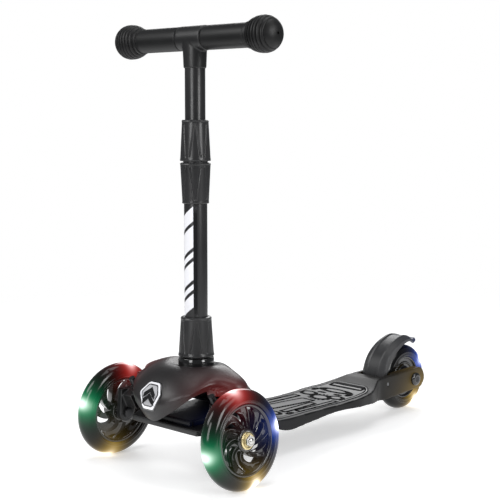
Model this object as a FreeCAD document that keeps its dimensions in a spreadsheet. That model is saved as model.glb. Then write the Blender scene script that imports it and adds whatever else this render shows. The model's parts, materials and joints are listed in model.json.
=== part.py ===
import FreeCAD, Part
import math
import os
import re
import Sketcher

# Three-wheeled lean-to-steer kick scooter for a small child, as a parametric document.
#
# Working frame: +Z up, the scooter's front faces -Y, X = 0 is the plane of symmetry and Z = 0 the ground.
# Each piece is drawn with Y = 0 at the front axle, and its Placement then moves it back by AXLE_Y, so that
# the origin lies under the middle of the whole scooter.

Vector = FreeCAD.Vector
Rotation = FreeCAD.Rotation

SIZES = [
    ("front_wheel_radius", 60, "front wheel, 120 mm across"),
    ("front_tyre_width", 24, "front tyre, with a half-round tread"),
    ("rear_wheel_radius", 48, "rear wheel, 96 mm across"),
    ("rear_tyre_width", 24, "rear tyre"),
    ("half_track", 112.5, "middle plane to the centre of a front wheel"),
    ("wheel_base", 455, "front axle to rear axle"),
    ("wheel_camber", 5, "degrees that the wheel tops lean in"),
    ("front_rim_radius", 43, "front hub, where the tyre is moulded on"),
    ("front_rim_wall", 4, "front hub rim, in the radius"),
    ("front_rim_width", 21, "front hub rim, along the axle"),
    ("rear_rim_radius", 31, "rear hub"),
    ("rear_rim_width", 22, "rear hub"),
    ("hub_boss_radius", 14, "hub round the bearings"),
    ("spoke_count", 9, "curved spokes in a front hub"),
    ("spoke_width", 5, "a spoke"),
    ("bearing_radius", 11, "ball bearing 608, outside"),
    ("bearing_width", 7, "ball bearing 608"),
    ("axle_radius", 4, "wheel bolts, M8"),
    ("running_gap", 0.05, "radial clearance of a shaft that turns"),
    ("side_gap", 0.5, "between faces that move past each other"),
    ("led_radius", 50, "circle of the lamps in a front tyre"),
    ("rear_led_radius", 38, "circle of the lamps in the rear tyre"),
    ("led_size", 5, "a lamp, each way"),
    ("kingpin_inset", 40.5, "centre of a front wheel to its kingpin, across the scooter"),
    ("kingpin_tilt", 30, "degrees that the kingpin tops lean forward"),
    ("kingpin_radius", 4, "kingpin"),
    ("kingpin_setback", 6, "middle of a kingpin, behind the front axle"),
    ("kingpin_height", 82, "middle of a kingpin"),
    ("barrel_radius", 9, "knuckle round the kingpin"),
    ("barrel_length", 26, "knuckle round the kingpin"),
    ("steering_arm", 26, "kingpin to tie rod"),
    ("arm_thickness", 6, "steering arm"),
    ("knuckle_gap", 2, "front tyre to its knuckle"),
    ("upright_reach", 32, "knuckle's upright, from the axle upwards"),
    ("upright_width", 24, "knuckle's upright"),
    ("upright_thickness", 8, "knuckle's upright"),
    ("washer_radius", 10.5, "dished washer on a front axle"),
    ("washer_thickness", 1.6, "dished washer on a front axle"),
    ("nut_corner", 7.2, "nut on a front axle, centre to corner"),
    ("nut_height", 5, "nut on a front axle"),
    ("spring_wire", 0.8, "centring spring, radius of its wire"),
    ("spring_pitch", 1.9, "centring spring, turn to turn"),
    ("tie_pin_radius", 3, "tie rod pins"),
    ("tie_rod_thickness", 4.5, "tie rod"),
    ("bridge_bottom", 57, "underside of the lower bridge plate"),
    ("bridge_thickness", 7, "lower bridge plate"),
    ("column_setback", 36, "steering column, behind the front axle"),
    ("socket_bottom", 101, "underside of the column socket"),
    ("ring_bottom", 126.5, "underside of the ring that shows on the housing"),
    ("ring_height", 11.5, "ring on the housing"),
    ("ring_wall", 8.4, "ring on the housing, beyond the lower tube"),
    ("lower_tube_radius", 14.3, "lower tube, outside"),
    ("upper_tube_radius", 12.5, "upper tube, outside"),
    ("upper_tube_wall", 1.6, "upper tube"),
    ("lower_tube_show", 140.5, "bare lower tube between its two collars"),
    ("upper_tube_show", 62, "bare upper tube at this height setting"),
    ("base_collar_length", 50.5, "collar that locks the column in its socket"),
    ("base_foot_wall", 8.4, "base collar at its foot, beyond the lower tube"),
    ("base_head_wall", 4.9, "base collar at its head, beyond the lower tube"),
    ("clamp_collar_length", 50, "each of the two collars that lock the height"),
    ("clamp_mouth_wall", 4.7, "height collars where they meet, beyond the lower tube"),
    ("clamp_end_wall", 2.3, "height collars at their far ends, beyond the lower tube"),
    ("collar_joint", 2, "dark gap between two collars"),
    ("bar_radius", 11, "steel handlebar tube"),
    ("bar_wall", 1.5, "steel handlebar tube"),
    ("grip_radius", 14.8, "rubber grip"),
    ("tee_radius", 15.3, "moulded tee"),
    ("tee_half_length", 22, "moulded tee, along the bar"),
    ("tee_sleeve_length", 36, "from the tee's foot up to the bar"),
    ("bar_reach", 117.6, "middle plane to the centre of a ball end"),
    ("ball_radius", 21.8, "ball end"),
    ("ball_half_width", 20.2, "ball end, along the bar"),
    ("slide_length", 170, "upper tube that goes down inside the lower tube"),
    ("deck_half_width", 51, "deck at its widest"),
    ("deck_waist", 48.8, "deck at its waist"),
    ("neck_length", 128, "front axle back to where the deck reaches its full width"),
    ("deck_wall", 4, "deck moulding"),
    ("deck_top", 46.8, "standing surface"),
    ("pad_margin", 7, "edge of the deck to the pad"),
    ("pad_recess", 1.6, "seat of the pad in the deck"),
    ("pad_thickness", 2.4, "grip pad"),
    ("rib_thickness", 2.5, "ribs under the deck"),
    ("fork_half_width", 28, "fork, outside"),
    ("fork_slot", 14.5, "half of the slot for the rear wheel"),
    ("fork_reach", 41, "rear tyre forward to where the fork begins"),
    ("brake_pin_gap", 16, "rear tyre forward to the brake's pin"),
    ("housing_wall", 3, "front housing"),
    ("wing_overhang", 12, "kingpin to the tip of the wing over it"),
    ("fender_half_width", 20, "brake fender"),
    ("fender_thickness", 3, "brake fender"),
    ("brake_pin_radius", 2.5, "pin of the brake fender"),
    ("screw_radius", 2, "screws"),
    ("screw_head_radius", 4, "screws"),
    ("screw_head_height", 2.4, "screws"),
]

doc = FreeCAD.newDocument("kick_scooter")
sheet = doc.addObject("Spreadsheet::Sheet", "Sizes")
for row, (alias, value, note) in enumerate(SIZES, 1):
    sheet.set(f"A{row}", note)
    sheet.set(f"B{row}", str(value))
    sheet.setAlias(f"B{row}", alias)
doc.recompute()

# Places that several pieces share, as formulas of the sheet's sizes.
AXLE_Y = "(front_wheel_radius - rear_wheel_radius - wheel_base)/2"
FRONT_AXLE_Z = "((front_wheel_radius - front_tyre_width/2)*cos(wheel_camber) + front_tyre_width/2)"
RING_TOP = "(ring_bottom + ring_height)"
RING_RADIUS = "(lower_tube_radius + ring_wall)"
NECK_RADIUS = "(lower_tube_radius + 2.1)"
COLLET_RADIUS = "(lower_tube_radius + 0.8)"
CLAMP_MOUTH = "(lower_tube_radius + clamp_mouth_wall)"
CLAMP_END = "(lower_tube_radius + clamp_end_wall)"
BASE_COLLAR_TOP = f"({RING_TOP} + base_collar_length)"
CLAMP_BOTTOM = f"({BASE_COLLAR_TOP} + lower_tube_show)"
CLAMP_JOINT = f"({CLAMP_BOTTOM} + clamp_collar_length)"
CLAMP_TOP = f"({CLAMP_JOINT} + collar_joint + clamp_collar_length)"
TEE_FOOT = f"({CLAMP_TOP} + upper_tube_show)"
BAR_Z = f"({TEE_FOOT} + tee_sleeve_length)"
KINGPIN_X = "(half_track - kingpin_inset)"
LOWER_TUBE_FOOT = "(socket_bottom + 5)"
LOWER_TUBE_TOP = f"({CLAMP_JOINT} - 4)"

KINDS = {"Cylinder": ("Radius", "Height"), "Cone": ("Radius1", "Radius2", "Height"),
         "Box": ("Length", "Width", "Height"), "Torus": ("Radius1", "Radius2"),
         "Ellipsoid": ("Radius1", "Radius2", "Radius3")}
UP = (Vector(0, 0, 1), 0)
ALONG_X = (Vector(0, 1, 0), 90)
ALONG_Y = (Vector(1, 0, 0), -90)
pieces = []


def formula(text):
    """The text with each size name turned into a reference to the sheet."""
    return re.sub(r"\b[a-z]+(_[a-z]+)+\b", lambda name: "Sizes." + name.group(0), str(text))


def size(text):
    """The value of a formula, for the few pieces whose shape is set by Part's own functions."""
    return float(sheet.evalExpression(formula(text)))


def place(item, at, turn=UP, turn_formula=None):
    axis, angle = turn
    item.Placement = FreeCAD.Placement(Vector(0, 0, 0), Rotation(axis, angle if not turn_formula else 1))
    if turn_formula:
        item.setExpression("Placement.Rotation.Angle", formula(turn_formula))
    for letter, text in zip("xyz", at):
        item.setExpression(f"Placement.Base.{letter}", formula(text))


def new_body(label, at=("0", AXLE_Y, "0"), turn=UP, turn_formula=None):
    """An empty body of the scooter, with its place; without one, it stands in the working frame."""
    body = doc.addObject("PartDesign::Body", label)
    body.Label = label
    body.AllowCompound = True
    place(body, at, turn, turn_formula)
    pieces.append(body)
    return body


def feature(body, kind, sizes, at=("0", "0", "0"), turn=UP, turn_formula=None, cut=False):
    """One additive or subtractive primitive, its sizes in the order of KINDS."""
    item = body.newObject(f"PartDesign::{'Subtractive' if cut else 'Additive'}{kind}", f"{body.Label}_{kind}")
    place(item, at, turn, turn_formula)
    for name, text in zip(KINDS[kind], sizes):
        item.setExpression(name, formula(text))
    return item


def cut(body, kind, sizes, **where):
    return feature(body, kind, sizes, cut=True, **where)


def sketch(body, role, corners, lift=0):
    """A closed outline of straight lines in one of the body's planes, each corner tied to the sheet."""
    plane = next(item for item in body.Origin.OriginFeatures if item.Role == role)
    item = body.newObject("Sketcher::SketchObject", f"{body.Label}_outline")
    item.AttachmentSupport = [(plane, "")]
    item.MapMode = "FlatFace"
    if lift:
        item.setExpression("AttachmentOffset.Base.z", formula(lift))
    points = [Vector(size(u), size(v), 0) for u, v in corners]
    count = len(points)
    for index, point in enumerate(points):
        item.addGeometry(Part.LineSegment(point, points[(index + 1) % count]), False)
    for index, (u, v) in enumerate(corners):
        item.addConstraint(Sketcher.Constraint("Coincident", index, 2, (index + 1) % count, 1))
        for kind, text, value in (("DistanceX", u, points[index].x), ("DistanceY", v, points[index].y)):
            number = item.addConstraint(Sketcher.Constraint(kind, -1, 1, index, 1, value))
            item.setExpression(f"Constraints[{number}]", formula(text))
    return item


def pad(body, outline, length, middle=False):
    item = body.newObject("PartDesign::Pad", f"{body.Label}_pad")
    item.Profile = outline
    item.Midplane = middle
    item.setExpression("Length", formula(length))
    return item


def rounded(corners):
    """A closed wire through corners (u, v, radius) in the XY plane; an arc is limited by its two sides."""
    points = [Vector(u, v, 0) for u, v, _ in corners]
    count = len(points)
    ends = []
    edges = []
    for index, (_, _, radius) in enumerate(corners):
        here = points[index]
        back = points[index - 1] - here
        ahead = points[(index + 1) % count] - here
        if radius == 0:
            ends.append((here, here))
            continue
        half = back.getAngle(ahead) / 2
        reach = min(radius / math.tan(half), 0.49 * back.Length, 0.49 * ahead.Length)
        radius = reach * math.tan(half)
        back.normalize()
        ahead.normalize()
        middle = (back + ahead).normalize() * (radius / math.sin(half))
        start = here + back * reach
        finish = here + ahead * reach
        crown = here + middle - (middle / middle.Length) * radius
        ends.append((start, finish))
        edges.append((index, Part.Arc(start, crown, finish).toShape()))
    arcs = dict(edges)
    wire = []
    for index in range(count):
        if index in arcs:
            wire.append(arcs[index])
        start = ends[index][1]
        finish = ends[(index + 1) % count][0]
        if (finish - start).Length > 0.001:
            wire.append(Part.LineSegment(start, finish).toShape())
    return Part.Wire(wire)


def slab(corners, start, length, along="Z", inset=0):
    """A rounded outline given thickness along an axis: outlines are (x, y), (y, z) or (x, z) pairs."""
    face = Part.Face(rounded(corners))
    if inset:
        face = face.makeOffset2D(-inset)
        face = Part.Face(face.Wires[0])
    block = face.extrude(Vector(0, 0, length))
    if block.Volume < 0:
        block.reverse()
    block.translate(Vector(0, 0, start))
    if along == "X":
        swing = FreeCAD.Placement(Vector(0, 0, 0), Rotation(Vector(1, 1, 1), 120))
        block.Placement = swing.multiply(block.Placement)
    if along == "Y":
        swing = FreeCAD.Placement(Vector(0, 0, 0), Rotation(Vector(1, 0, 0), 90))
        block.Placement = swing.multiply(block.Placement)
    return block


def box(low, high):
    return Part.makeBox(*(Vector(*high) - Vector(*low)), Vector(*low))


def free_piece(label, shape):
    """A piece whose shape Part's functions make, drawn in the working frame."""
    item = doc.addObject("Part::Feature", label)
    item.Label = label
    item.Shape = shape
    place(item, ("0", AXLE_Y, "0"))
    pieces.append(item)
    return item


# ---- Wheels: each piece is drawn round its axle, local Z, with the outer side up.

def wheel_place(side):
    """Where a front wheel stands, and how its axle is turned: side is 1 for +X and -1 for -X."""
    at = (f"{side}*half_track", AXLE_Y, FRONT_AXLE_Z)
    return {"at": at, "turn": (Vector(0, 1, 0), 90), "turn_formula": f"{side}*(90 - wheel_camber)"}


REAR_WHEEL = {"at": ("0", f"{AXLE_Y} + wheel_base", "rear_wheel_radius"), "turn": ALONG_X}


def tyre(label, where, radius, width, rim):
    body = new_body(label, **where)
    feature(body, "Torus", (f"{radius} - {width}/2", f"{width}/2"))
    feature(body, "Cylinder", (f"{radius} - {width}/2", width), at=("0", "0", f"-{width}/2"))
    cut(body, "Cylinder", (rim, f"2*{width}"), at=("0", "0", f"-{width}"))


def bearings(label, where, width):
    """Two ball bearings, flush with the ends of the hub boss."""
    body = new_body(label, **where)
    for foot in (f"-{width}/2", f"{width}/2 - bearing_width"):
        feature(body, "Cylinder", ("bearing_radius", "bearing_width"), at=("0", "0", foot))
    cut(body, "Cylinder", ("axle_radius + running_gap", f"2*{width}"), at=("0", "0", f"-{width}"))


def front_hub(label, where):
    """Rim, boss and curved spokes; the spokes sit between thin webs and leave the hub open."""
    body = new_body(label, **where)
    width = "front_rim_width"
    feature(body, "Cylinder", ("front_rim_radius", width), at=("0", "0", f"-{width}/2"))
    cut(body, "Cylinder", ("front_rim_radius - front_rim_wall", f"2*{width}"), at=("0", "0", f"-{width}"))
    feature(body, "Cylinder", ("hub_boss_radius", width), at=("0", "0", f"-{width}/2"))
    reach = "(front_rim_radius - front_rim_wall/2)"
    corners = (("hub_boss_radius*0.5", "-spoke_width/2 - 3"), ("hub_boss_radius + 7", "-spoke_width/2 - 1"),
               (f"{reach}*0.75", "5"), (f"{reach}*0.93", "14"), (f"{reach}*0.86", "14 + spoke_width"),
               (f"{reach}*0.64", "5 + spoke_width*0.7"), ("hub_boss_radius + 4", "spoke_width/2"),
               ("hub_boss_radius*0.5", "spoke_width/2"))
    outline = sketch(body, "XY_Plane", corners, lift="-front_rim_width*0.35")
    spoke = pad(body, outline, "front_rim_width*0.7")
    doc.recompute()
    pattern = body.newObject("PartDesign::PolarPattern", f"{label}_spokes")
    pattern.Originals = [spoke]
    axis = next(item for item in body.Origin.OriginFeatures if item.Role == "Z_Axis")
    pattern.Axis = (axis, [""])
    pattern.Angle = 360
    pattern.setExpression("Occurrences", formula("spoke_count"))
    body.Tip = pattern
    doc.recompute()
    cut(body, "Cylinder", ("bearing_radius", f"2*{width}"), at=("0", "0", f"-{width}"))


def rear_hub(label, where):
    body = new_body(label, **where)
    width = "rear_rim_width"
    feature(body, "Cylinder", ("rear_rim_radius", width), at=("0", "0", f"-{width}/2"))
    for foot in (f"-{width}", f"{width}/2 - 4"):
        cut(body, "Cylinder", ("rear_rim_radius - front_rim_wall", f"{width}/2 + 4"), at=("0", "0", foot))
    feature(body, "Cylinder", ("hub_boss_radius", width), at=("0", "0", f"-{width}/2"))
    cut(body, "Cylinder", ("bearing_radius", f"2*{width}"), at=("0", "0", f"-{width}"))


def lamps(label, where, circle, first_angle, count):
    """Lamps cast into a tyre, evenly round a circle."""
    body = new_body(label, **where)
    for number in range(count):
        angle = first_angle + number * 360 / count
        at = (f"{circle}*cos({angle})", f"{circle}*sin({angle})", "-led_size/2")
        feature(body, "Cylinder", ("led_size/2", "led_size"), at=at)


def seats(tyre_label, lamp_label):
    """Cut the lamps' places out of the tyre that holds them."""
    tyre_body = doc.getObject(tyre_label)
    lamp_body = doc.getObject(lamp_label)
    doc.recompute()
    holes = doc.addObject("Part::Cut", f"{tyre_label}_with_seats")
    holes.Base = tyre_body
    holes.Tool = lamp_body
    tyre_body.Label = f"{tyre_label}_blank"
    holes.Label = tyre_label
    pieces[pieces.index(tyre_body)] = holes


def front_wheel(name, side, first_lamp):
    where = wheel_place(side)
    front_hub(f"hub_{name}", where)
    tyre(f"tyre_{name}", where, "front_wheel_radius", "front_tyre_width", "front_rim_radius")
    bearings(f"bearings_{name}", where, "front_rim_width")
    lamps(f"lamps_{name}", where, "led_radius", first_lamp, 4)
    seats(f"tyre_{name}", f"lamps_{name}")


def rear_wheel():
    rear_hub("hub_rear", REAR_WHEEL)
    tyre("tyre_rear", REAR_WHEEL, "rear_wheel_radius", "rear_tyre_width", "rear_rim_radius")
    bearings("bearings_rear", REAR_WHEEL, "rear_rim_width")
    lamps("lamps_rear", REAR_WHEEL, "rear_led_radius", 32, 4)
    seats("tyre_rear", "lamps_rear")


# ---- Steering: a knuckle turns on each leaning kingpin, and a tie rod joins the two.

def kingpin_place(side):
    at = (f"{side}*{KINGPIN_X}", f"{AXLE_Y} + kingpin_setback", "kingpin_height")
    return {"at": at, "turn": (Vector(1, 0, 0), 1), "turn_formula": "kingpin_tilt"}


KNUCKLE_FACE = "(front_tyre_width/2 + knuckle_gap)"


def knuckle(name, side):
    """Barrel on the kingpin, steering arm to the tie rod, and an upright that carries the wheel bolt."""
    body = new_body(f"knuckle_{name}", **kingpin_place(side))
    feature(body, "Cylinder", ("barrel_radius", "barrel_length"), at=("0", "0", "-barrel_length/2"))
    arm = ("2*tie_pin_radius + 6", "steering_arm + tie_pin_radius + 3", "arm_thickness")
    feature(body, "Box", arm, at=("-tie_pin_radius - 3", "0", "-barrel_length/2"))
    web = ("kingpin_inset - front_tyre_width/2 - 3*knuckle_gap", "2*barrel_radius", "barrel_length*0.8")
    near = "0" if side > 0 else "-(kingpin_inset - front_tyre_width/2 - 3*knuckle_gap)"
    feature(body, "Box", web, at=(near, "-14", "-barrel_length*0.45"))
    cut(body, "Cylinder", ("kingpin_radius + running_gap", "2*barrel_length"),
        at=("0", "0", "-barrel_length"))
    cut(body, "Cylinder", ("tie_pin_radius", "20"), at=("0", "steering_arm", "-barrel_length/2 - 10"))

    upright = new_body(f"upright_{name}", **wheel_place(side))
    up = "-upright_reach" if side > 0 else "0"
    back = f"-{KNUCKLE_FACE} - upright_thickness"
    feature(upright, "Box", ("upright_reach", "upright_width", "upright_thickness"),
            at=(up, "-upright_width/2", back))
    feature(upright, "Cylinder", ("upright_width/2", "upright_thickness"), at=("0", "0", back))
    feature(upright, "Cylinder", ("barrel_radius", "knuckle_gap"), at=("0", "0", f"-{KNUCKLE_FACE}"))
    cut(upright, "Cylinder", ("axle_radius", "60"), at=("0", "0", "-50"))
    return body, upright


def steering(name, side):
    knuckle_body, upright = knuckle(name, side)
    doc.recompute()
    joined = doc.addObject("Part::Fuse", f"knuckle_{name}_joined")
    joined.Base = knuckle_body
    joined.Tool = upright
    knuckle_body.Label = f"barrel_{name}_part"
    upright.Label = f"upright_{name}_part"
    joined.Label = f"knuckle_{name}"
    pieces.remove(upright)
    pieces[pieces.index(knuckle_body)] = joined

    axle = new_body(f"axle_bolt_{name}", **wheel_place(side))
    back = f"-{KNUCKLE_FACE} - upright_thickness"
    feature(axle, "Cylinder",
            ("axle_radius", f"{KNUCKLE_FACE} + upright_thickness + front_rim_width/2 + nut_height + 3"),
            at=("0", "0", back))
    feature(axle, "Cylinder", ("axle_radius + 2.5", "axle_radius"), at=("0", "0", f"{back} - axle_radius"))

    spacer = new_body(f"axle_spacer_{name}", **wheel_place(side))
    inside = "(front_rim_width - 2*bearing_width - 2*side_gap)"
    feature(spacer, "Cylinder", ("axle_radius + 2", inside), at=("0", "0", f"-{inside}/2"))
    cut(spacer, "Cylinder", ("axle_radius", "60"), at=("0", "0", "-30"))

    washer = new_body(f"washer_{name}", **wheel_place(side))
    outer_face = "(front_rim_width/2 + side_gap)"
    feature(washer, "Cylinder", ("washer_radius", "washer_thickness"), at=("0", "0", outer_face))
    cut(washer, "Cylinder", ("axle_radius", "60"), at=("0", "0", "-30"))

    nut = new_body(f"axle_nut_{name}", **wheel_place(side))
    prism = nut.newObject("PartDesign::AdditivePrism", f"axle_nut_{name}_hexagon")
    prism.Polygon = 6
    place(prism, ("0", "0", f"{outer_face} + washer_thickness"))
    prism.setExpression("Circumradius", formula("nut_corner"))
    prism.setExpression("Height", formula("nut_height"))
    cut(nut, "Cylinder", ("axle_radius", "60"), at=("0", "0", "-30"))

    kingpin = new_body(f"kingpin_{name}", **kingpin_place(side))
    feature(kingpin, "Cylinder", ("kingpin_radius", "barrel_length + 36"),
            at=("0", "0", "-barrel_length/2 - 20"))
    feature(kingpin, "Cylinder", ("kingpin_radius + 2.5", "3"), at=("0", "0", "-barrel_length/2 - 23"))

    pin = new_body(f"tie_pin_{name}", **kingpin_place(side))
    feature(pin, "Cylinder", ("tie_pin_radius", "16"), at=("0", "steering_arm", "-barrel_length/2"))
    feature(pin, "Cylinder", ("tie_pin_radius + 2", "2"),
            at=("0", "steering_arm", "-barrel_length/2 + arm_thickness + tie_rod_thickness + 2*side_gap"))
    centring_spring(name, side)


def centring_spring(name, side):
    """A coil round the kingpin above the barrel, which brings the knuckle back to straight ahead."""
    helix = doc.addObject("Part::Helix", f"spring_{name}_line")
    helix.setExpression("Pitch", formula("spring_pitch"))
    helix.setExpression("Height", formula("2.5*spring_pitch"))
    helix.setExpression("Radius", formula("kingpin_radius + 2*spring_wire"))
    wire = doc.addObject("Part::Circle", f"spring_{name}_section")
    wire.setExpression("Radius", formula("spring_wire"))
    place(wire, ("kingpin_radius + 2*spring_wire", "0", "0"), turn=(Vector(1, 0, 0), 90))
    coil = doc.addObject("Part::Sweep", f"spring_{name}")
    coil.Sections = [wire]
    coil.Spine = (helix, [])
    coil.Solid = True
    coil.Frenet = True
    coil.Label = f"centring_spring_{name}"
    at = (f"{side}*{KINGPIN_X}",
          f"{AXLE_Y} + kingpin_setback - (barrel_length/2 + 1.2)*sin(kingpin_tilt)",
          "kingpin_height + (barrel_length/2 + 1.2)*cos(kingpin_tilt)")
    place(coil, at, turn=(Vector(1, 0, 0), 1), turn_formula="kingpin_tilt")
    pieces.append(coil)


def tie_rod():
    """A flat bar from pin to pin, on top of the two steering arms."""
    at = ("0", f"{AXLE_Y} + kingpin_setback", "kingpin_height")
    body = new_body("tie_rod", at=at, turn=(Vector(1, 0, 0), 1), turn_formula="kingpin_tilt")
    foot = "-barrel_length/2 + arm_thickness + side_gap"
    feature(body, "Box", (f"2*{KINGPIN_X}", "10", "tie_rod_thickness"),
            at=(f"-{KINGPIN_X}", "steering_arm - 5", foot))
    for side in (-1, 1):
        feature(body, "Cylinder", ("tie_pin_radius + 3", "tie_rod_thickness"),
                at=(f"{side}*{KINGPIN_X}", "steering_arm", foot))
        cut(body, "Cylinder", ("tie_pin_radius + running_gap", "tie_rod_thickness + 4"),
            at=(f"{side}*{KINGPIN_X}", "steering_arm", f"{foot} - 2"))


def pin_y(height):
    """Where a kingpin's centre line is, behind the front axle, at a height."""
    return f"(kingpin_setback - ({height} - kingpin_height)*tan(kingpin_tilt))"


SCREW_SPOTS = [(side * x, y) for side in (-1, 1) for x in (15, 38) for y in (-8, 44)]


def bridge_plate():
    """The lower plate, with an eye under each kingpin, screwed up into the deck's tongue."""
    body = new_body("bridge_plate")
    middle = pin_y("(bridge_bottom + bridge_thickness/2)")
    eye = "(barrel_radius + 2)"
    tip = f"{KINGPIN_X} + {eye}*0.9"
    right = ((f"{KINGPIN_X} - 14", "-20"), (f"{KINGPIN_X} + 2", f"{middle} - {eye}"),
             (tip, f"{middle} - {eye}*0.4"), (tip, f"{middle} + {eye}*0.4"),
             (f"{KINGPIN_X} + 2", f"{middle} + {eye}"), (f"{KINGPIN_X} - 22", "56"))
    left = tuple((f"-({x})", y) for x, y in reversed(right))
    pad(body, sketch(body, "XY_Plane", right + left, lift="bridge_bottom"), "bridge_thickness")
    for side in (-1, 1):
        cut(body, "Cylinder", ("kingpin_radius", "60"),
            at=(f"{side}*{KINGPIN_X}", pin_y("(bridge_bottom - 20)"), "bridge_bottom - 20"),
            turn=(Vector(1, 0, 0), 1), turn_formula="kingpin_tilt")
    for x, y in SCREW_SPOTS:
        cut(body, "Cylinder", ("screw_radius", "bridge_thickness + 4"), at=(x, y, "bridge_bottom - 2"))


def bridge_screws():
    body = new_body("bridge_screws")
    for x, y in SCREW_SPOTS:
        feature(body, "Cylinder", ("screw_radius", "bridge_thickness + 6"), at=(x, y, "bridge_bottom"))
        feature(body, "Cylinder", ("screw_head_radius", "screw_head_height"),
                at=(x, y, "bridge_bottom - screw_head_height"))


# ---- Steering column: rings and tubes round one upright axis.

COLUMN = ("0", f"{AXLE_Y} + column_setback", "0")


def turned(label, rings, bore):
    """Cylinders and cones on the column's axis as (bottom, height, radius, top radius), with one bore."""
    body = new_body(label, at=COLUMN)
    for bottom, height, radius, top in rings:
        if radius == top:
            feature(body, "Cylinder", (radius, height), at=("0", "0", bottom))
        else:
            feature(body, "Cone", (radius, top, height), at=("0", "0", bottom))
    if bore:
        cut(body, "Cylinder", (bore, "1000"), at=("0", "0", "0"))
    return body


def column():
    slide_bore = "upper_tube_radius + running_gap"
    spigot = f"{RING_RADIUS} - 3"
    turned("column_socket", [("socket_bottom", "ring_bottom - socket_bottom + 1", spigot, spigot),
                             ("ring_bottom", "ring_height", RING_RADIUS, RING_RADIUS),
                             (RING_TOP, "base_collar_length*0.5", NECK_RADIUS, NECK_RADIUS)],
           "lower_tube_radius")
    base = turned("base_collar", [(f"{RING_TOP} + collar_joint", "base_collar_length - collar_joint",
                                   "lower_tube_radius + base_foot_wall",
                                   "lower_tube_radius + base_head_wall")],
                  "lower_tube_radius + running_gap")
    cut(base, "Cylinder", (f"{NECK_RADIUS} + running_gap", "base_collar_length*0.5 + 1"),
        at=("0", "0", RING_TOP))
    turned("lower_tube", [(LOWER_TUBE_FOOT, f"{LOWER_TUBE_TOP} - {LOWER_TUBE_FOOT}",
                           "lower_tube_radius", "lower_tube_radius")], slide_bore)
    sleeve = turned("clamp_sleeve", [(CLAMP_BOTTOM, "clamp_collar_length", CLAMP_END, CLAMP_MOUTH)],
                    "lower_tube_radius")
    cut(sleeve, "Cylinder", (COLLET_RADIUS, "clamp_collar_length"), at=("0", "0", LOWER_TUBE_TOP))
    turned("collet", [(LOWER_TUBE_TOP, "clamp_collar_length*0.45", COLLET_RADIUS, COLLET_RADIUS)], slide_bore)
    twist = turned("twist_collar", [(f"{CLAMP_JOINT} + collar_joint", "clamp_collar_length",
                                     CLAMP_MOUTH, CLAMP_END)], "upper_tube_radius + 0.4")
    cut(twist, "Cylinder", (f"{COLLET_RADIUS} + running_gap", "clamp_collar_length*0.45 + 1"),
        at=("0", "0", f"{CLAMP_JOINT} - 2"))


# ---- Handlebar: upper tube, tee, steel bar, grips and ball ends slide as one.

def handlebar():
    slide_foot = f"{BAR_Z} - bar_radius - 0.5 - slide_length - upper_tube_show - 2*clamp_collar_length"
    turned("upper_tube", [(slide_foot, "slide_length + upper_tube_show + 2*clamp_collar_length",
                           "upper_tube_radius", "upper_tube_radius")], "upper_tube_radius - upper_tube_wall")
    bar_at = ("0", f"{AXLE_Y} + column_setback", BAR_Z)
    tee = new_body("tee_joint", at=bar_at, turn=ALONG_X)
    feature(tee, "Cylinder", ("tee_radius", "2*tee_half_length"), at=("0", "0", "-tee_half_length"))
    feature(tee, "Cone", ("tee_radius*0.98", "upper_tube_radius + 2.2", "tee_sleeve_length"),
            turn=(Vector(0, 1, 0), 90))
    cut(tee, "Cylinder", ("bar_radius", "100"), at=("0", "0", "-50"))
    cut(tee, "Cylinder", ("upper_tube_radius", "100"), turn=(Vector(0, 1, 0), 90))
    bar = new_body("bar_tube", at=bar_at, turn=ALONG_X)
    feature(bar, "Cylinder", ("bar_radius", "2*bar_reach"), at=("0", "0", "-bar_reach"))
    cut(bar, "Cylinder", ("bar_radius - bar_wall", "4*bar_reach"), at=("0", "0", "-2*bar_reach"))
    grip_end = "(bar_reach - ball_half_width + 2)"
    for name, side in (("left", -1), ("right", 1)):
        turn = (Vector(0, 1, 0), 90 * side)
        grip = new_body(f"grip_{name}", at=bar_at, turn=turn)
        feature(grip, "Cylinder", ("grip_radius", f"{grip_end} - tee_half_length"),
                at=("0", "0", "tee_half_length"))
        feature(grip, "Cylinder", ("grip_radius + 1.4", "3"), at=("0", "0", f"{grip_end} - 5"))
        cut(grip, "Cylinder", ("bar_radius", "300"))
        ball = new_body(f"ball_end_{name}", at=bar_at, turn=turn)
        feature(ball, "Ellipsoid", ("ball_half_width", "ball_radius", "ball_radius"),
                at=("0", "0", "bar_reach"))
        cut(ball, "Cylinder", ("ball_radius + 1", "40"), at=("0", "0", f"{grip_end} - 40"))
        cut(ball, "Cylinder", ("bar_radius", "bar_reach"), at=("0", "0", "0"))


# ---- Deck, fork and brake.

def from_rear(distance):
    """A place that far ahead of the rear axle, as its distance behind the front axle."""
    return size("wheel_base") - distance


def from_tyre(distance):
    """A place that far ahead of the rear tyre's front, as its distance behind the front axle."""
    return from_rear(size("rear_wheel_radius") + distance)


def round_rear(corners):
    """Corners given as (angle round the rear axle, distance beyond the tyre, corner radius)."""
    wheel = size("rear_wheel_radius")
    return [(size("wheel_base") + (wheel + gap) * math.cos(math.radians(angle)),
             wheel + (wheel + gap) * math.sin(math.radians(angle)), radius) for angle, gap, radius in corners]


def deck_plan(margin, front, back):
    """Half of the deck's outline, as (x, y, corner radius) from front to back, a margin in from its edge."""
    wide = size("deck_half_width")
    waist = size("deck_waist")
    return [(wide * 0.86 - margin, front, 6), (wide + 1 - margin, size("neck_length"), 90),
            (waist - margin, from_rear(219), 400), (wide - margin, from_rear(155), 90),
            (wide - 6 - margin, back, 60)]


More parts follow.
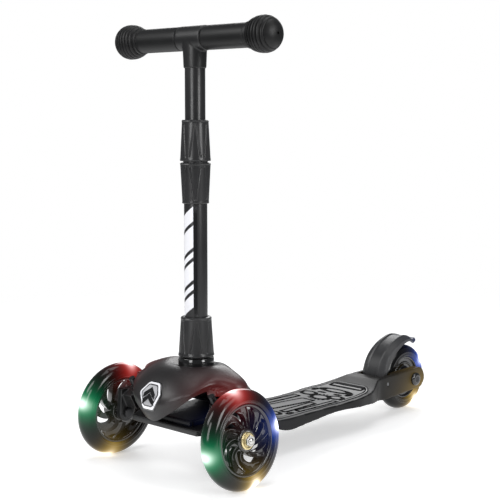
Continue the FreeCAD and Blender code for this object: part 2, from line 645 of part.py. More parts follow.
def deck_side(drop):
    """The deck seen from the side, as (y, z, corner radius), with its top lowered by a drop."""
    top = size("deck_top") - drop
    end = from_rear(-26)
    neck = size("neck_length")
    axle_up = size("rear_wheel_radius")
    low = -80 if drop else 0
    tongue = size("bridge_bottom + bridge_thickness")
    upper = [(-14, tongue + 7.5 - drop, 2), (76, tongue + 7.5 - drop, 30), (neck - 10, top + 3, 30),
             (neck + 22, top, 200), (from_rear(195), top, 300), (from_rear(121), top + 3.6, 120),
             (from_tyre(size("fork_reach")), axle_up + 12.8 - drop, 30),
             (end - 8, axle_up + 16.3 - drop, 12)]
    lower = [(end, axle_up - 2 + low, 12), (end - 10, axle_up - 14 + low, 8),
             (from_tyre(25), axle_up - 20 + low, 30), (from_rear(129), 34.5 + low, 120),
             (from_rear(199), 38.2 + low, 300), (neck + 22, 29.6 + low, 60), (neck - 32, 50 + low, 20),
             (70, tongue + low, 6), (-14, tongue + low, 2)]
    return upper + lower


def both_sides(half):
    return half + [(-x, y, radius) for x, y, radius in reversed(half)]


def deck():
    """Standing board with a tongue in front and a fork behind, ribbed below and recessed for the pad."""
    wall = size("deck_wall")
    fork = size("fork_half_width")
    slot = size("fork_slot")
    neck = size("neck_length")
    rib = size("rib_thickness")
    end = from_rear(-40)
    wide_end = from_rear(119)
    plan = [(40, -20, 4), (40, 60, 10)] + deck_plan(0, 64, wide_end)[1:]
    plan += [(fork, from_tyre(size("fork_reach")) + 2, 40), (fork, end, 4)]
    outer = slab(both_sides(plan), 0, 140).common(slab(deck_side(0), -70, 140, along="X"))
    below = slab(deck_side(wall + size("pad_recess")), -70, 140, along="X")
    hollow = slab(both_sides(deck_plan(wall, neck + 6, wide_end + 4)), 0, 140).common(below)
    ribs = [box((-70, y, 0), (70, y + rib, 100)) for y in range(int(neck + 22), int(wide_end) + 4, 30)]
    ribs += [box((x - rib / 2, 100, 0), (x + rib / 2, from_rear(110), 100)) for x in (-22.75, 0, 22.75)]
    board = outer.cut(hollow.cut(Part.makeCompound(ribs)))
    seat_plan = slab(both_sides(deck_plan(size("pad_margin"), neck + 12, from_rear(111))), 0, 140)
    board = board.cut(seat_plan.cut(slab(deck_side(size("pad_recess")), -70, 140, along="X")))
    bay_front = from_tyre(11)
    bay = [(-slot, bay_front, 8), (slot, bay_front, 8), (slot, end + 5, 0), (-slot, end + 5, 0)]
    board = board.cut(slab(bay, 0, 140))
    axle_at = Vector(-100, size("wheel_base"), size("rear_wheel_radius"))
    board = board.cut(Part.makeCylinder(size("axle_radius"), 200, axle_at, Vector(1, 0, 0)))
    pin_hole = Part.makeCylinder(size("brake_pin_radius"), 200, Vector(-100, *brake_pin()), Vector(1, 0, 0))
    board = board.cut(pin_hole)
    fender_room = size("fender_half_width") + 1
    board = board.cut(box((-fender_room, from_tyre(27), 42), (fender_room, from_tyre(1), 140)))
    for x, y in SCREW_SPOTS:
        board = board.cut(Part.makeCylinder(size("screw_radius"), size("bridge_thickness + 6"),
                                            Vector(x, y, size("bridge_bottom"))))
    free_piece("deck", board)


def brake_pin():
    """Centre of the fender's pin, as (y, z)."""
    return from_tyre(size("brake_pin_gap")), size("rear_wheel_radius") + 2


def deck_pad():
    """Rubber grip pad in the deck's recess, standing a little proud of its edge."""
    half = deck_plan(size("pad_margin + side_gap"), size("neck_length") + 12.5, from_rear(111.5))
    plan = slab(both_sides(half), 0, 140)
    low = slab(deck_side(size("pad_recess")), -70, 140, along="X")
    high = slab(deck_side(size("pad_recess - pad_thickness")), -70, 140, along="X")
    free_piece("deck_pad", plan.common(high).cut(low))


def rear_axle():
    body = new_body("axle_bolt_rear", **REAR_WHEEL)
    feature(body, "Cylinder", ("axle_radius", "2*fork_half_width + 6"),
            at=("0", "0", "-fork_half_width - 1"))
    feature(body, "Cylinder", ("7", "4"), at=("0", "0", "-fork_half_width - 4"))
    nut = new_body("axle_nut_rear", **REAR_WHEEL)
    feature(nut, "Cylinder", ("7", "5"), at=("0", "0", "fork_half_width"))
    cut(nut, "Cylinder", ("axle_radius", "80"))
    spacer = new_body("axle_spacers_rear", **REAR_WHEEL)
    side_room = "(fork_slot - rear_rim_width/2 - side_gap)"
    inside = "(rear_rim_width - 2*bearing_width - 2*side_gap)"
    feature(spacer, "Cylinder", ("axle_radius + 2", inside), at=("0", "0", f"-{inside}/2"))
    feature(spacer, "Cylinder", ("axle_radius + 3", side_room),
            at=("0", "0", "rear_rim_width/2 + side_gap"))
    feature(spacer, "Cylinder", ("axle_radius + 3", side_room), at=("0", "0", "-fork_slot"))
    cut(spacer, "Cylinder", ("axle_radius", "100"), at=("0", "0", "-50"))


def fender():
    """Foot brake: a shield over the rear wheel that pivots at its foot, with a pad below its tail."""
    thick = size("fender_thickness")
    half = size("fender_half_width")
    pin_y_place, pin_z = brake_pin()
    outside = round_rear([(181, 21, 3), (165, 21.4, 40), (144.5, 20.8, 40), (122.5, 17.2, 30),
                          (102.5, 16.5, 20),
                          (83.4, 12.9, 16), (67.5, 9.4, 4), (60, 16.1, 2), (57.8, 11.1, 2), (67.8, 4.9, 6),
                          (85, 9, 14), (103.2, 13.1, 18), (122.4, 13.6, 28), (144.4, 17.2, 38),
                          (165, 17.3, 38),
                          (181, 16 - thick, 3)])
    shield = slab(outside, -half, 2 * half, along="X")
    front = from_tyre(27)
    tail = from_tyre(-83)
    shoulder = from_rear(23)
    tip = half * 0.6
    shield = shield.common(slab([(-half, front, 2), (half, front, 2), (half, shoulder, 30), (tip, tail, 6),
                                 (-tip, tail, 6), (-half, shoulder, 30)], 0, 160))
    skirt_outline = round_rear([(176.4, 16.1, 3), (164, 17.5, 30), (143, 18.4, 30),
                                (119.4, 15.1, 20), (108.2, 13, 6),
                                (110, 7.3, 4), (128.5, 8.2, 10), (144.6, 7.2, 20),
                                (166.8, 4.4, 10), (175.6, 4.2, 3)])
    skirts = [slab(skirt_outline, low, 2.5, along="X") for low in (-half + 1.5, half - 4)]
    barrel = Part.makeCylinder(6, 2 * half - 4, Vector(2 - half, pin_y_place, pin_z), Vector(1, 0, 0))
    shield = shield.fuse(skirts + [barrel]).removeSplitter()
    shield = shield.cut(Part.makeCylinder(size("brake_pin_radius + running_gap"), 200,
                                          Vector(-100, pin_y_place, pin_z), Vector(1, 0, 0)))
    free_piece("fender_brake", shield)
    body = new_body("brake_pin")
    feature(body, "Cylinder", ("brake_pin_radius", "2*fork_half_width - 1"),
            at=("0.5 - fork_half_width", str(pin_y_place), str(pin_z)), turn=ALONG_X)


# ---- Front housing and badge.

def housing_plan(inset):
    tip = size(f"{KINGPIN_X} + wing_overhang")
    half = [(30, -44, 22), (53, -24, 16), (tip - 24, -2, 12), (tip, 12, 8), (tip, 44, 12),
            (tip - 28, 58, 18),
            (45, 90, 40), (44, size("neck_length") + 2, 3)]
    return slab(both_sides(half), 0, 200, inset=inset)


def housing_side(inset):
    outline = [(-36, 66, 8), (-47, 90, 14), (-35, 111, 30), (-8, 132, 30), (30, 134, 40), (66, 129, 40),
               (96, 108, 60), (size("neck_length") + 2, 60, 20), (size("neck_length") + 2, 47, 2),
               (98, 47, 2)]
    return slab(outline, -120, 240, along="X", inset=inset)


def housing_front(inset):
    tip = size(f"{KINGPIN_X} + wing_overhang + 2")
    half = [(30, 134.5, 60), (tip - 26, 129, 60), (tip, 113, 8), (tip, 40, 0)]
    return slab(both_sides(half), -200, 300, along="Y", inset=inset)


def front_housing():
    """Shell over the steering: a blunt nose, a wing over each kingpin and a tail down to the deck."""
    wall = size("housing_wall")
    reach = size(KINGPIN_X)
    outer = housing_plan(0).common(housing_side(0)).common(housing_front(0))
    inner = housing_plan(wall).common(housing_side(wall)).common(housing_front(wall))
    shell = outer.cut(inner)
    arch = slab([(-30, 40, 0), (-30, 60, 0), (-16, 99, 8), (92, 99, 20), (100, 80, 6), (100, 40, 0)],
                -120, 240, along="X")
    shell = shell.cut(arch)
    for side in (-1, 1):
        notch = slab([(0, 30, 0), (0, 68, 0), (side * 50, 100, 0), (side * 120, 100, 0),
                      (side * 120, 30, 0)],
                     0, 60, along="Y")
        shell = shell.cut(notch)
        ear = slab([(side * reach - 14, -18, 4), (side * reach + 11, -18, 8), (side * reach + 11, 16, 2),
                    (side * reach - 14, 16, 2)], 103, 11)
        shell = shell.fuse(ear)
        pin = Part.makeCylinder(size("kingpin_radius"), 120, Vector(side * reach, size(pin_y("40")), 40),
                                Vector(0, -size("sin(kingpin_tilt)"), size("cos(kingpin_tilt)")))
        shell = shell.cut(pin)
    column_y = size("column_setback")
    shell = shell.cut(Part.makeCylinder(size(f"{RING_RADIUS} - 3"), 120, Vector(0, column_y, 60)))
    shell = shell.cut(Part.makeCylinder(size(RING_RADIUS), 60, Vector(0, column_y, size("ring_bottom"))))
    board = slab(deck_side(0), -70, 140, along="X")
    solids = sorted(shell.cut(board).Solids, key=lambda solid: solid.Volume)
    free_piece("front_housing", solids[-1])


def badge():
    """Oval plate on the nose, upright and slightly tipped back."""
    plate = slab([(-9, 17, 4), (9, 17, 4), (18, 2, 5), (9, -17, 4), (-9, -17, 4), (-18, 2, 5)], 0, 3)
    plate.Placement = FreeCAD.Placement(Vector(0, -40.5, 99.5), Rotation(Vector(1, 0, 0), 68))
    free_piece("badge_plate", Part.makeCompound([plate]))


for name, side, first_lamp in (("left", -1, 15), ("right", 1, 10)):
    front_wheel(name, side, first_lamp)
    steering(name, side)
rear_wheel()
tie_rod()
bridge_plate()
bridge_screws()
column()
handlebar()
deck()
deck_pad()
rear_axle()
fender()
front_housing()
badge()
doc.recompute()

for item in doc.Objects:
    if {"Invalid", "Error"} & set(item.State):
        raise RuntimeError(f"{item.Label} failed: {item.State}")
os.makedirs("parts", exist_ok=True)
for piece in pieces:
    shape = piece.Shape
    if shape.isNull() or not shape.isValid() or not shape.Solids:
        raise RuntimeError(f"{piece.Label} has no valid solid")
    shape.exportStep(f"parts/{piece.Label}.step")
    print(f"{piece.Label}: {len(shape.Solids)} solid(s), {shape.Volume / 1000:.1f} cm3")
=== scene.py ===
# %% [markdown]
# # A three-wheeled kick scooter
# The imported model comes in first, as a fixed frame in metres. Every place below is worked out from
# its joints and its pieces, so nothing has to be fitted by eye: a new piece is drawn where the
# CAD says that it is. Sizes are written in millimetres and turned to metres by one factor.

# %% Load the frame
import json
import math

import bmesh
import bpy
from mathutils import Matrix, Vector
from mathutils.bvhtree import BVHTree


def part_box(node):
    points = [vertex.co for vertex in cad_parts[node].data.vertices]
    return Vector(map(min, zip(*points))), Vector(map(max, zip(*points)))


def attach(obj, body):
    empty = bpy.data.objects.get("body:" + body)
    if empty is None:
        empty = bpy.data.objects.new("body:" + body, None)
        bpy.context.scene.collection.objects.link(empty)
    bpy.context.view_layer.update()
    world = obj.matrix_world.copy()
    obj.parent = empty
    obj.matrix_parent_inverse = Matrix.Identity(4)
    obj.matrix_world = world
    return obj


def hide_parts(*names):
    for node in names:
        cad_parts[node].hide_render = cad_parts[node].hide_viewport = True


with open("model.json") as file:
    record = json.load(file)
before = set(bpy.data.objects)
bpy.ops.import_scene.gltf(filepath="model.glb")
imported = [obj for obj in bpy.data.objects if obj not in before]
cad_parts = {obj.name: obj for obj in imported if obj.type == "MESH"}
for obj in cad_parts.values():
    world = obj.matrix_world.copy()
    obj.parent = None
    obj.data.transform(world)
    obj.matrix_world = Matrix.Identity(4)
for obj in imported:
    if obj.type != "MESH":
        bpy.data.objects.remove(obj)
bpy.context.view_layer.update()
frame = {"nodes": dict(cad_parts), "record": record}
MM = 0.001
JOINTS = {joint["name"]: joint for joint in frame["record"]["behaviour"]["joints"]}
AXLE_Y = JOINTS["wheel_right_spin"]["pos_m"][1]
COLUMN_Y = JOINTS["base_collar_turn"]["pos_m"][1]
REAR_AXLE = Vector(JOINTS["wheel_rear_spin"]["pos_m"])


def at(x, back, z):
    """A place in millimetres: to the right, behind the front axle, above the ground."""
    return Vector((x * MM, AXLE_Y + back * MM, z * MM))


# %% [markdown]
# ## Camera and light
# The camera stands to the right of the nose, a little above the wheels, with a long lens, so the
# upright column stays straight. Depth of field stays off. The floor and the background are
# nearly white. Four soft lamps light the scooter from all round, because black plastic lives from
# what it reflects, and two narrow ones draw a bright line down each tube.

# %% Camera


def add(name, data):
    """A new object in the scene."""
    item = bpy.data.objects.new(name, data)
    bpy.context.collection.objects.link(item)
    return item


def stand(item, place, aim):
    """Put a camera or a lamp at a place, looking at a point."""
    item.location = place
    item.rotation_mode = "QUATERNION"
    item.rotation_quaternion = (Vector(aim) - Vector(place)).to_track_quat("-Z", "Y")


AZIMUTH, ELEVATION, DISTANCE = math.radians(44.05), math.radians(6.27), 1.522
target = at(31, 100, 268.6)
back = Vector((math.sin(AZIMUTH) * math.cos(ELEVATION), -math.cos(AZIMUTH) * math.cos(ELEVATION),
               math.sin(ELEVATION)))
camera_data = bpy.data.cameras.new("camera")
camera_data.lens = 87.4
camera_data.sensor_width = 36
camera = add("camera", camera_data)
stand(camera, target + back * DISTANCE, target)
bpy.context.scene.camera = camera
bpy.context.scene.view_settings.view_transform = "Standard"

# %% Floor, background and lamps
world = bpy.data.worlds.new("studio")
bpy.context.scene.world = world
world.use_nodes = True
sky = world.node_tree
sky.nodes["Background"].inputs["Color"].default_value = (0.93, 0.96, 1.0, 1)
sky.nodes["Background"].inputs["Strength"].default_value = 0.17
white = sky.nodes.new("ShaderNodeBackground")
white.inputs["Color"].default_value = (1, 1, 1, 1)
path = sky.nodes.new("ShaderNodeLightPath")
choose = sky.nodes.new("ShaderNodeMixShader")
sky.links.new(path.outputs["Is Camera Ray"], choose.inputs["Fac"])
sky.links.new(sky.nodes["Background"].outputs[0], choose.inputs[1])
sky.links.new(white.outputs[0], choose.inputs[2])
sky.links.new(choose.outputs[0], sky.nodes["World Output"].inputs["Surface"])


def lamp(name, place, wide, high, energy, aim=(0, 0, 0.25)):
    """A soft rectangular lamp that looks at a point; the camera doesn't see it."""
    data = bpy.data.lights.new(name, "AREA")
    data.shape = "RECTANGLE"
    data.size = wide
    data.size_y = high
    data.energy = energy
    item = add(name, data)
    item.visible_camera = False
    stand(item, place, aim)


lamp("key", (-0.9, -1.5, 1.5), 0.9, 0.9, 14)
lamp("fill", (1.8, 0.4, 1.5), 1.0, 1.0, 7)
lamp("rim", (-1.2, 1.4, 1.2), 1.0, 1.0, 12)
lamp("top", (0.1, 0.1, 2.0), 1.2, 1.2, 10)
lamp("near strip", (0.25, -1.7, 0.75), 0.55, 1.0, 10, aim=(0, 0, 0.4))
lamp("side strip", (1.75, -0.1, 0.85), 0.5, 0.9, 12, aim=(0, 0, 0.45))

# %% [markdown]
# ## Shapes
# Most pieces here are turned or moulded. `outline` rounds the corners of a profile, because every
# real edge has a small radius that catches the light. `lathe` turns a profile round an axle, and
# `mesh_piece` cleans and shades a mesh. `settle` gives a piece its finish, its body and the
# CAD node that it stands for, so each piece is set up in one call.

# %% Helpers for meshes


def shade(mesh, sharp):
    """Smooth shading; edges that turn more than sharp stay crisp."""
    mesh.shade_smooth()
    mesh.set_sharp_from_angle(angle=math.radians(sharp))


def mesh_piece(name, points, faces, sharp=32):
    """A clean mesh object from points in metres, with its faces turned outwards."""
    mesh = bpy.data.meshes.new(name)
    mesh.from_pydata([tuple(point) for point in points], [], faces)
    tidy = bmesh.new()
    tidy.from_mesh(mesh)
    bmesh.ops.remove_doubles(tidy, verts=tidy.verts, dist=2e-6)
    bmesh.ops.dissolve_degenerate(tidy, edges=tidy.edges, dist=1e-7)
    bmesh.ops.recalc_face_normals(tidy, faces=tidy.faces)
    tidy.to_mesh(mesh)
    tidy.free()
    shade(mesh, sharp)
    return add(name, mesh)


def outline(corners, steps=4):
    """Points along a closed profile of (u, v, radius) corners, each corner an arc."""
    points = []
    count = len(corners)
    for index, (u, v, radius) in enumerate(corners):
        here = Vector((u, v))
        if radius == 0:
            points.append(here)
            continue
        before = Vector(corners[index - 1][:2]) - here
        after = Vector(corners[(index + 1) % count][:2]) - here
        reach = min(radius, 0.48 * before.length, 0.48 * after.length)
        first = here + before.normalized() * reach
        last = here + after.normalized() * reach
        for step in range(steps + 1):
            t = step / steps
            points.append(first * (1 - t) ** 2 + here * 2 * t * (1 - t) + last * t ** 2)
    return points


def rings(name, loops, closed=True, sharp=32):
    """Quads between loops of equal length; open chains of loops get a cap at each end."""
    size = len(loops[0])
    chains = [range(row * size, (row + 1) * size) for row in range(len(loops))]
    faces = []
    for chain, following in zip(chains, chains[1:] + (chains[:1] if closed else [])):
        faces += walls(chain, following)
    if not closed:
        faces += [tuple(chains[0]), tuple(chains[-1])]
    return mesh_piece(name, [point for loop in loops for point in loop], faces, sharp)


def grid_faces(rows, columns, first=0):
    """Quads of a grid of points that are numbered row by row."""
    across = columns + 1
    starts = [first + row * across + column for row in range(rows) for column in range(columns)]
    return [(start, start + 1, start + across + 1, start + across) for start in starts]


def grid_edge(rows, columns):
    """The numbers of the points round a grid, in order."""
    across = columns + 1
    return ([*range(across)] + [row * across + columns for row in range(1, rows + 1)]
            + [rows * across + column for column in range(columns - 1, -1, -1)]
            + [row * across for row in range(rows - 1, 0, -1)])


def walls(upper, lower):
    """Quads between two closed chains of points."""
    count = len(upper)
    return [(upper[i], upper[(i + 1) % count], lower[(i + 1) % count], lower[i]) for i in range(count)]


def lathe(name, profile, place, steps=96, shape=None, sharp=32):
    """Turn a closed profile of (radius, height) corners round local Z; shape may move a point."""
    loops = []
    for step in range(steps):
        angle = 2 * math.pi * step / steps
        loop = []
        for radius, height in profile:
            if shape:
                radius, height = shape(radius, height, angle)
            loop.append(place @ (Vector((radius * math.cos(angle), radius * math.sin(angle), height)) * MM))
        loops.append(loop)
    return rings(name, loops, sharp=sharp)


def turned(name, corners, place, steps=96):
    """A lathe of rounded corners (radius, height, rounding)."""
    return lathe(name, outline(corners), place, steps)


def axle_frame(centre, outward, up=(0, 0, 1)):
    """Local Z along an axle, local X as near to up as it can be."""
    z = Vector(outward).normalized()
    x = Vector(up)
    x = (x - z * x.dot(z)).normalized()
    turn = Matrix((x, z.cross(x), z)).transposed().to_4x4()
    return Matrix.Translation(centre) @ turn


def upright(x, back, z):
    return Matrix.Translation(at(x, back, z))


def modify(piece, kind, **settings):
    """Add a modifier with its settings."""
    modifier = piece.modifiers.new(kind.lower(), kind)
    for name, value in settings.items():
        setattr(modifier, name, value)


def plain_mesh(piece):
    """Apply all modifiers, so that the piece is a plain mesh."""
    evaluated = piece.evaluated_get(bpy.context.evaluated_depsgraph_get())
    mesh = bpy.data.meshes.new_from_object(evaluated)
    piece.modifiers.clear()
    piece.data = mesh
    return piece


def from_meshes(name, meshes, merge=0.0):
    """One object from some meshes, with points nearer than merge made one."""
    bm = bmesh.new()
    for mesh in meshes:
        bm.from_mesh(mesh)
    if merge:
        bmesh.ops.remove_doubles(bm, verts=bm.verts, dist=merge)
    whole = bpy.data.meshes.new(name)
    bm.to_mesh(whole)
    bm.free()
    return add(name, whole)


def join(name, *parts):
    """One piece from several closed ones that are moulded together, which are used up."""
    piece = from_meshes(name, [part.data for part in parts])
    for part in parts:
        bpy.data.objects.remove(part)
    return piece


def settle(piece, material, body, slot, *nodes):
    """Finish, body and the CAD nodes that the piece stands for; the slot is not used."""
    if material.name not in [item.name for item in piece.data.materials if item]:
        piece.data.materials.clear()
        piece.data.materials.append(material)
    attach(piece, body)
    if nodes:
        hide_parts(*nodes)
    return piece

# %% [markdown]
# ## Finishes
# Black is never one black. The housing and the deck are satin nylon with a fine moulded grain,
# the hubs are glossy, the tubes are powder coated, the grips are matt rubber and the tyres are
# smoky clear polyurethane that the lamps light from inside. Three small node groups carry what
# these finishes share: a moulded grain, worn bright edges, and dust that settles on upward faces.

# %% Node group helpers


def node_group(name, inputs, outputs, kind="ShaderNodeTree"):
    """An empty group with its sockets: inputs are (label, type) with a default for a plain value."""
    tree = bpy.data.node_groups.new(name, kind)
    for label, socket_type, *default in inputs:
        socket = tree.interface.new_socket(label, in_out="INPUT", socket_type=socket_type)
        if default:
            socket.default_value = default[0]
    for label, socket_type in outputs:
        tree.interface.new_socket(label, in_out="OUTPUT", socket_type=socket_type)
    return tree, tree.nodes.new("NodeGroupInput"), tree.nodes.new("NodeGroupOutput")


def feed(tree, socket, value):
    """Give a socket a plain value, or link it to another node's output."""
    if isinstance(value, bpy.types.NodeSocket):
        tree.links.new(value, socket)
    elif value is not None:
        socket.default_value = value


def fill(tree, item, **values):
    """Feed a node's sockets by name, with an underscore for each space."""
    for name, value in values.items():
        feed(tree, item.inputs[name.replace("_", " ")], value)


def node(tree, kind, **settings):
    """A node with its settings; a name that starts with a capital is a socket."""
    item = tree.nodes.new(kind)
    for name, value in settings.items():
        if name[0].islower():
            setattr(item, name, value)
        else:
            fill(tree, item, **{name: value})
    return item


def maths(tree, operation, first, second=None, clamp=False):
    item = node(tree, "ShaderNodeMath", operation=operation, use_clamp=clamp)
    feed(tree, item.inputs[0], first)
    feed(tree, item.inputs[1], second)
    return item.outputs[0]


def vector_maths(tree, operation, first, second=None, scale=None):
    item = node(tree, "ShaderNodeVectorMath", operation=operation)
    feed(tree, item.inputs[0], first)
    feed(tree, item.inputs[1], second)
    feed(tree, item.inputs[3], scale)
    return item.outputs["Value" if operation in ("DISTANCE", "LENGTH") else "Vector"]


def place_group(tree, group, **values):
    item = node(tree, "ShaderNodeGroup", node_tree=group)
    fill(tree, item, **values)
    return item


def place_of(tree):
    """Where a point lies in the frame, for a pattern that stays with the object."""
    return node(tree, "ShaderNodeTexCoord").outputs["Object"]


def noise(tree, scale, detail):
    """Noise that stays with the object, its scale per metre."""
    item = node(tree, "ShaderNodeTexNoise", Scale=scale, Detail=detail, Vector=place_of(tree))
    return item.outputs["Fac"]


# %% The shared effects: grain, wear and dust
GRAIN, grain_in, grain_out = node_group("moulded grain", [("Size", "NodeSocketFloat", 900.0)],
                                        [("Height", "NodeSocketFloat"), ("Mottle", "NodeSocketFloat")])
fill(GRAIN, grain_out, Height=noise(GRAIN, grain_in.outputs["Size"], 2.0), Mottle=noise(GRAIN, 28.0, 4.0))

WEAR, wear_in, wear_out = node_group("worn edges", [("Amount", "NodeSocketFloat", 0.5)],
                                     [("Mask", "NodeSocketFloat")])
edginess = node(WEAR, "ShaderNodeNewGeometry").outputs["Pointiness"]
sharpness = maths(WEAR, "MULTIPLY", maths(WEAR, "SUBTRACT", edginess, 0.53), 9.0, clamp=True)
patchy = maths(WEAR, "MULTIPLY", maths(WEAR, "SUBTRACT", noise(WEAR, 160.0, 5.0), 0.42), 4.0, clamp=True)
worn_away = maths(WEAR, "MULTIPLY", sharpness, patchy)
fill(WEAR, wear_out, Mask=maths(WEAR, "MULTIPLY", worn_away, wear_in.outputs["Amount"]))

DUST, dust_in, dust_out = node_group("settled dust", [("Amount", "NodeSocketFloat", 0.5)],
                                     [("Mask", "NodeSocketFloat")])
facing = node(DUST, "ShaderNodeNewGeometry").outputs["Normal"]
upward = node(DUST, "ShaderNodeSeparateXYZ", Vector=facing).outputs["Z"]
level = maths(DUST, "POWER", maths(DUST, "MAXIMUM", upward, 0.0), 3.0)
specks = maths(DUST, "MULTIPLY", level, noise(DUST, 70.0, 6.0))
fill(DUST, dust_out, Mask=maths(DUST, "MULTIPLY", specks, dust_in.outputs["Amount"]))

# %% [markdown]
# `finish` makes a material from those groups: a base colour that mottles a little, a second colour
# where edges are worn, dust on top, a roughness that varies, and a bump from the grain.

# %% The plain finishes


def mix_colour(tree, factor, first, second):
    item = node(tree, "ShaderNodeMix", data_type="RGBA", Factor=factor)
    feed(tree, item.inputs[6], first)
    feed(tree, item.inputs[7], second)
    return item.outputs[2]


def grey(value):
    return (value, value, value * 1.04, 1)


def finish(name, colour, roughness, worn=None, grain=900.0, bump=0.15, metallic=0.0, coat=0.0,
           wear=0.5, dust=0.05, mottle=0.25, specular=0.5):
    """A plain moulded, coated or metal finish. Colours are linear; grain is per metre."""
    material = bpy.data.materials.new(name)
    material.use_nodes = True
    tree = material.node_tree
    surface = place_group(tree, GRAIN, Size=grain)
    edges = place_group(tree, WEAR, Amount=wear)
    film = place_group(tree, DUST, Amount=dust)
    darker = tuple(channel * (1 - mottle) for channel in colour[:3]) + (1,)
    lighter = tuple(channel * (1 + mottle) for channel in colour[:3]) + (1,)
    base = mix_colour(tree, surface.outputs["Mottle"], darker, lighter)
    base = mix_colour(tree, edges.outputs["Mask"], base, worn or grey(0.16))
    base = mix_colour(tree, film.outputs["Mask"], base, grey(0.35))
    rough = maths(tree, "ADD", maths(tree, "MULTIPLY", surface.outputs["Mottle"], 0.12), roughness - 0.06)
    relief = node(tree, "ShaderNodeBump", Strength=bump, Distance=0.0003, Height=surface.outputs["Height"])
    fill(tree, tree.nodes["Principled BSDF"], Base_Color=base, Metallic=metallic, Roughness=rough,
         Normal=relief.outputs["Normal"], Specular_IOR_Level=specular, Coat_Weight=coat, Coat_Roughness=0.08)
    return material


SATIN = finish("satin nylon", grey(0.011), 0.38, bump=0.25, dust=0.02)
COLLAR = finish("collar nylon", grey(0.022), 0.3, bump=0.12)
DECK = finish("deck nylon", grey(0.006), 0.4, bump=0.3, dust=0.02, specular=0.12)
GLOSS = finish("gloss black plastic", grey(0.008), 0.14, bump=0.03, coat=0.6, dust=0.02)
RUBBER = finish("matt rubber", grey(0.006), 0.44, grain=1400.0, bump=0.3, wear=0.1, dust=0.02,
                specular=0.35)
TUBE = finish("powder coated tube", grey(0.018), 0.3, grain=2200.0, bump=0.05)
STEEL = finish("zinc plated steel", (0.62, 0.61, 0.58, 1), 0.26, metallic=1.0, grain=1800.0, bump=0.05,
               worn=(0.8, 0.8, 0.8, 1), mottle=0.12)
DARK_STEEL = finish("blackened steel", grey(0.05), 0.36, metallic=0.9, worn=grey(0.4), bump=0.08)
BRASS = finish("yellow passivated washer", (0.74, 0.62, 0.34, 1), 0.27, metallic=1.0, grain=1500.0,
               bump=0.06, worn=(0.9, 0.85, 0.6, 1), mottle=0.15)
WHITE = finish("white print", grey(0.92), 0.3, worn=grey(0.4), bump=0.05, mottle=0.06)
STRIPE = finish("black gloss stripe", grey(0.004), 0.08, bump=0.02, coat=1.0, dust=0.0)
BY_SLOT = {"satin_plastic": SATIN, "gloss_plastic": GLOSS, "deck_plastic": DECK, "pad_rubber": DECK,
           "tyre_clear": GLOSS, "grip_rubber": RUBBER, "tube_black": TUBE, "steel": STEEL,
           "dark_steel": DARK_STEEL, "brass": BRASS, "lamp": WHITE, "badge": WHITE}
for entry in frame["record"]["subparts"]:
    part = frame["nodes"][entry["node"]]
    part.data.materials.clear()
    part.data.materials.append(BY_SLOT[entry["material_slot"]])
print("finishes:", len(BY_SLOT))

# %% [markdown]
# ## Painted glow of the tyre lamps
# A tyre holds four lamps. Their light is painted: each is painted as emission on the clear tyre,
# white where it sits and its own colour round it, and as a painted pool of its light on what stands
# close by. The group `lamp glow` gives that painted light from the distance to one lamp; a material
# adds the glow of each lamp near it to its emission.

# %% The glow group
GLOW, glow_in, glow_out = node_group("lamp glow", [("Place", "NodeSocketVector", (0, 0, 0)),
                                                   ("Colour", "NodeSocketColor", (1, 0, 0, 1)),
                                                   ("Core", "NodeSocketFloat", 0.006),
                                                   ("Reach", "NodeSocketFloat", 0.02)],
                                     [("Light", "NodeSocketColor")])
away = vector_maths(GLOW, "DISTANCE", place_of(GLOW), glow_in.outputs["Place"])


def fall(reach, power):
    """Brightness that falls from 1 at the lamp to nearly 0 a few reaches away."""
    ratio = maths(GLOW, "DIVIDE", away, reach)
    return maths(GLOW, "EXPONENT", maths(GLOW, "MULTIPLY", maths(GLOW, "POWER", ratio, power), -1.0))


halo = vector_maths(GLOW, "SCALE", glow_in.outputs["Colour"], scale=fall(glow_in.outputs["Reach"], 1.3))
core_light = maths(GLOW, "MULTIPLY", fall(glow_in.outputs["Core"], 2.0), 3.0)
white_core = vector_maths(GLOW, "SCALE", (1, 1, 1), scale=core_light)
fill(GLOW, glow_out, Light=vector_maths(GLOW, "ADD", halo, white_core))


def painted_lamp_glow(material, lamps, core=0.006, reach=0.02, strength=1.0):
    """Paint the glow of some lamps, given as (place, colour), into a material's emission."""
    tree = material.node_tree
    total = None
    for place, colour in lamps:
        light = place_group(tree, GLOW, Place=place, Colour=colour, Core=core, Reach=reach).outputs["Light"]
        total = vector_maths(tree, "ADD", total, light) if total else light
    fill(tree, tree.nodes["Principled BSDF"], Emission_Color=total, Emission_Strength=strength)
    return material


RED, GREEN = (1.0, 0.05, 0.04, 1), (0.0, 0.55, 0.2, 1)
BLUE, YELLOW = (0.04, 0.16, 1.0, 1), (0.95, 0.62, 0.12, 1)

# %% [markdown]
# ## Geometry Nodes for what repeats
# The spokes repeat round an axle and the housing's ribs along a line. One tree does both: it
# makes Count points, moves each by its index times Step, turns it by its index times Turn, puts
# the Part there, and ends in Realize Instances and Set Material, so the result is a plain mesh.

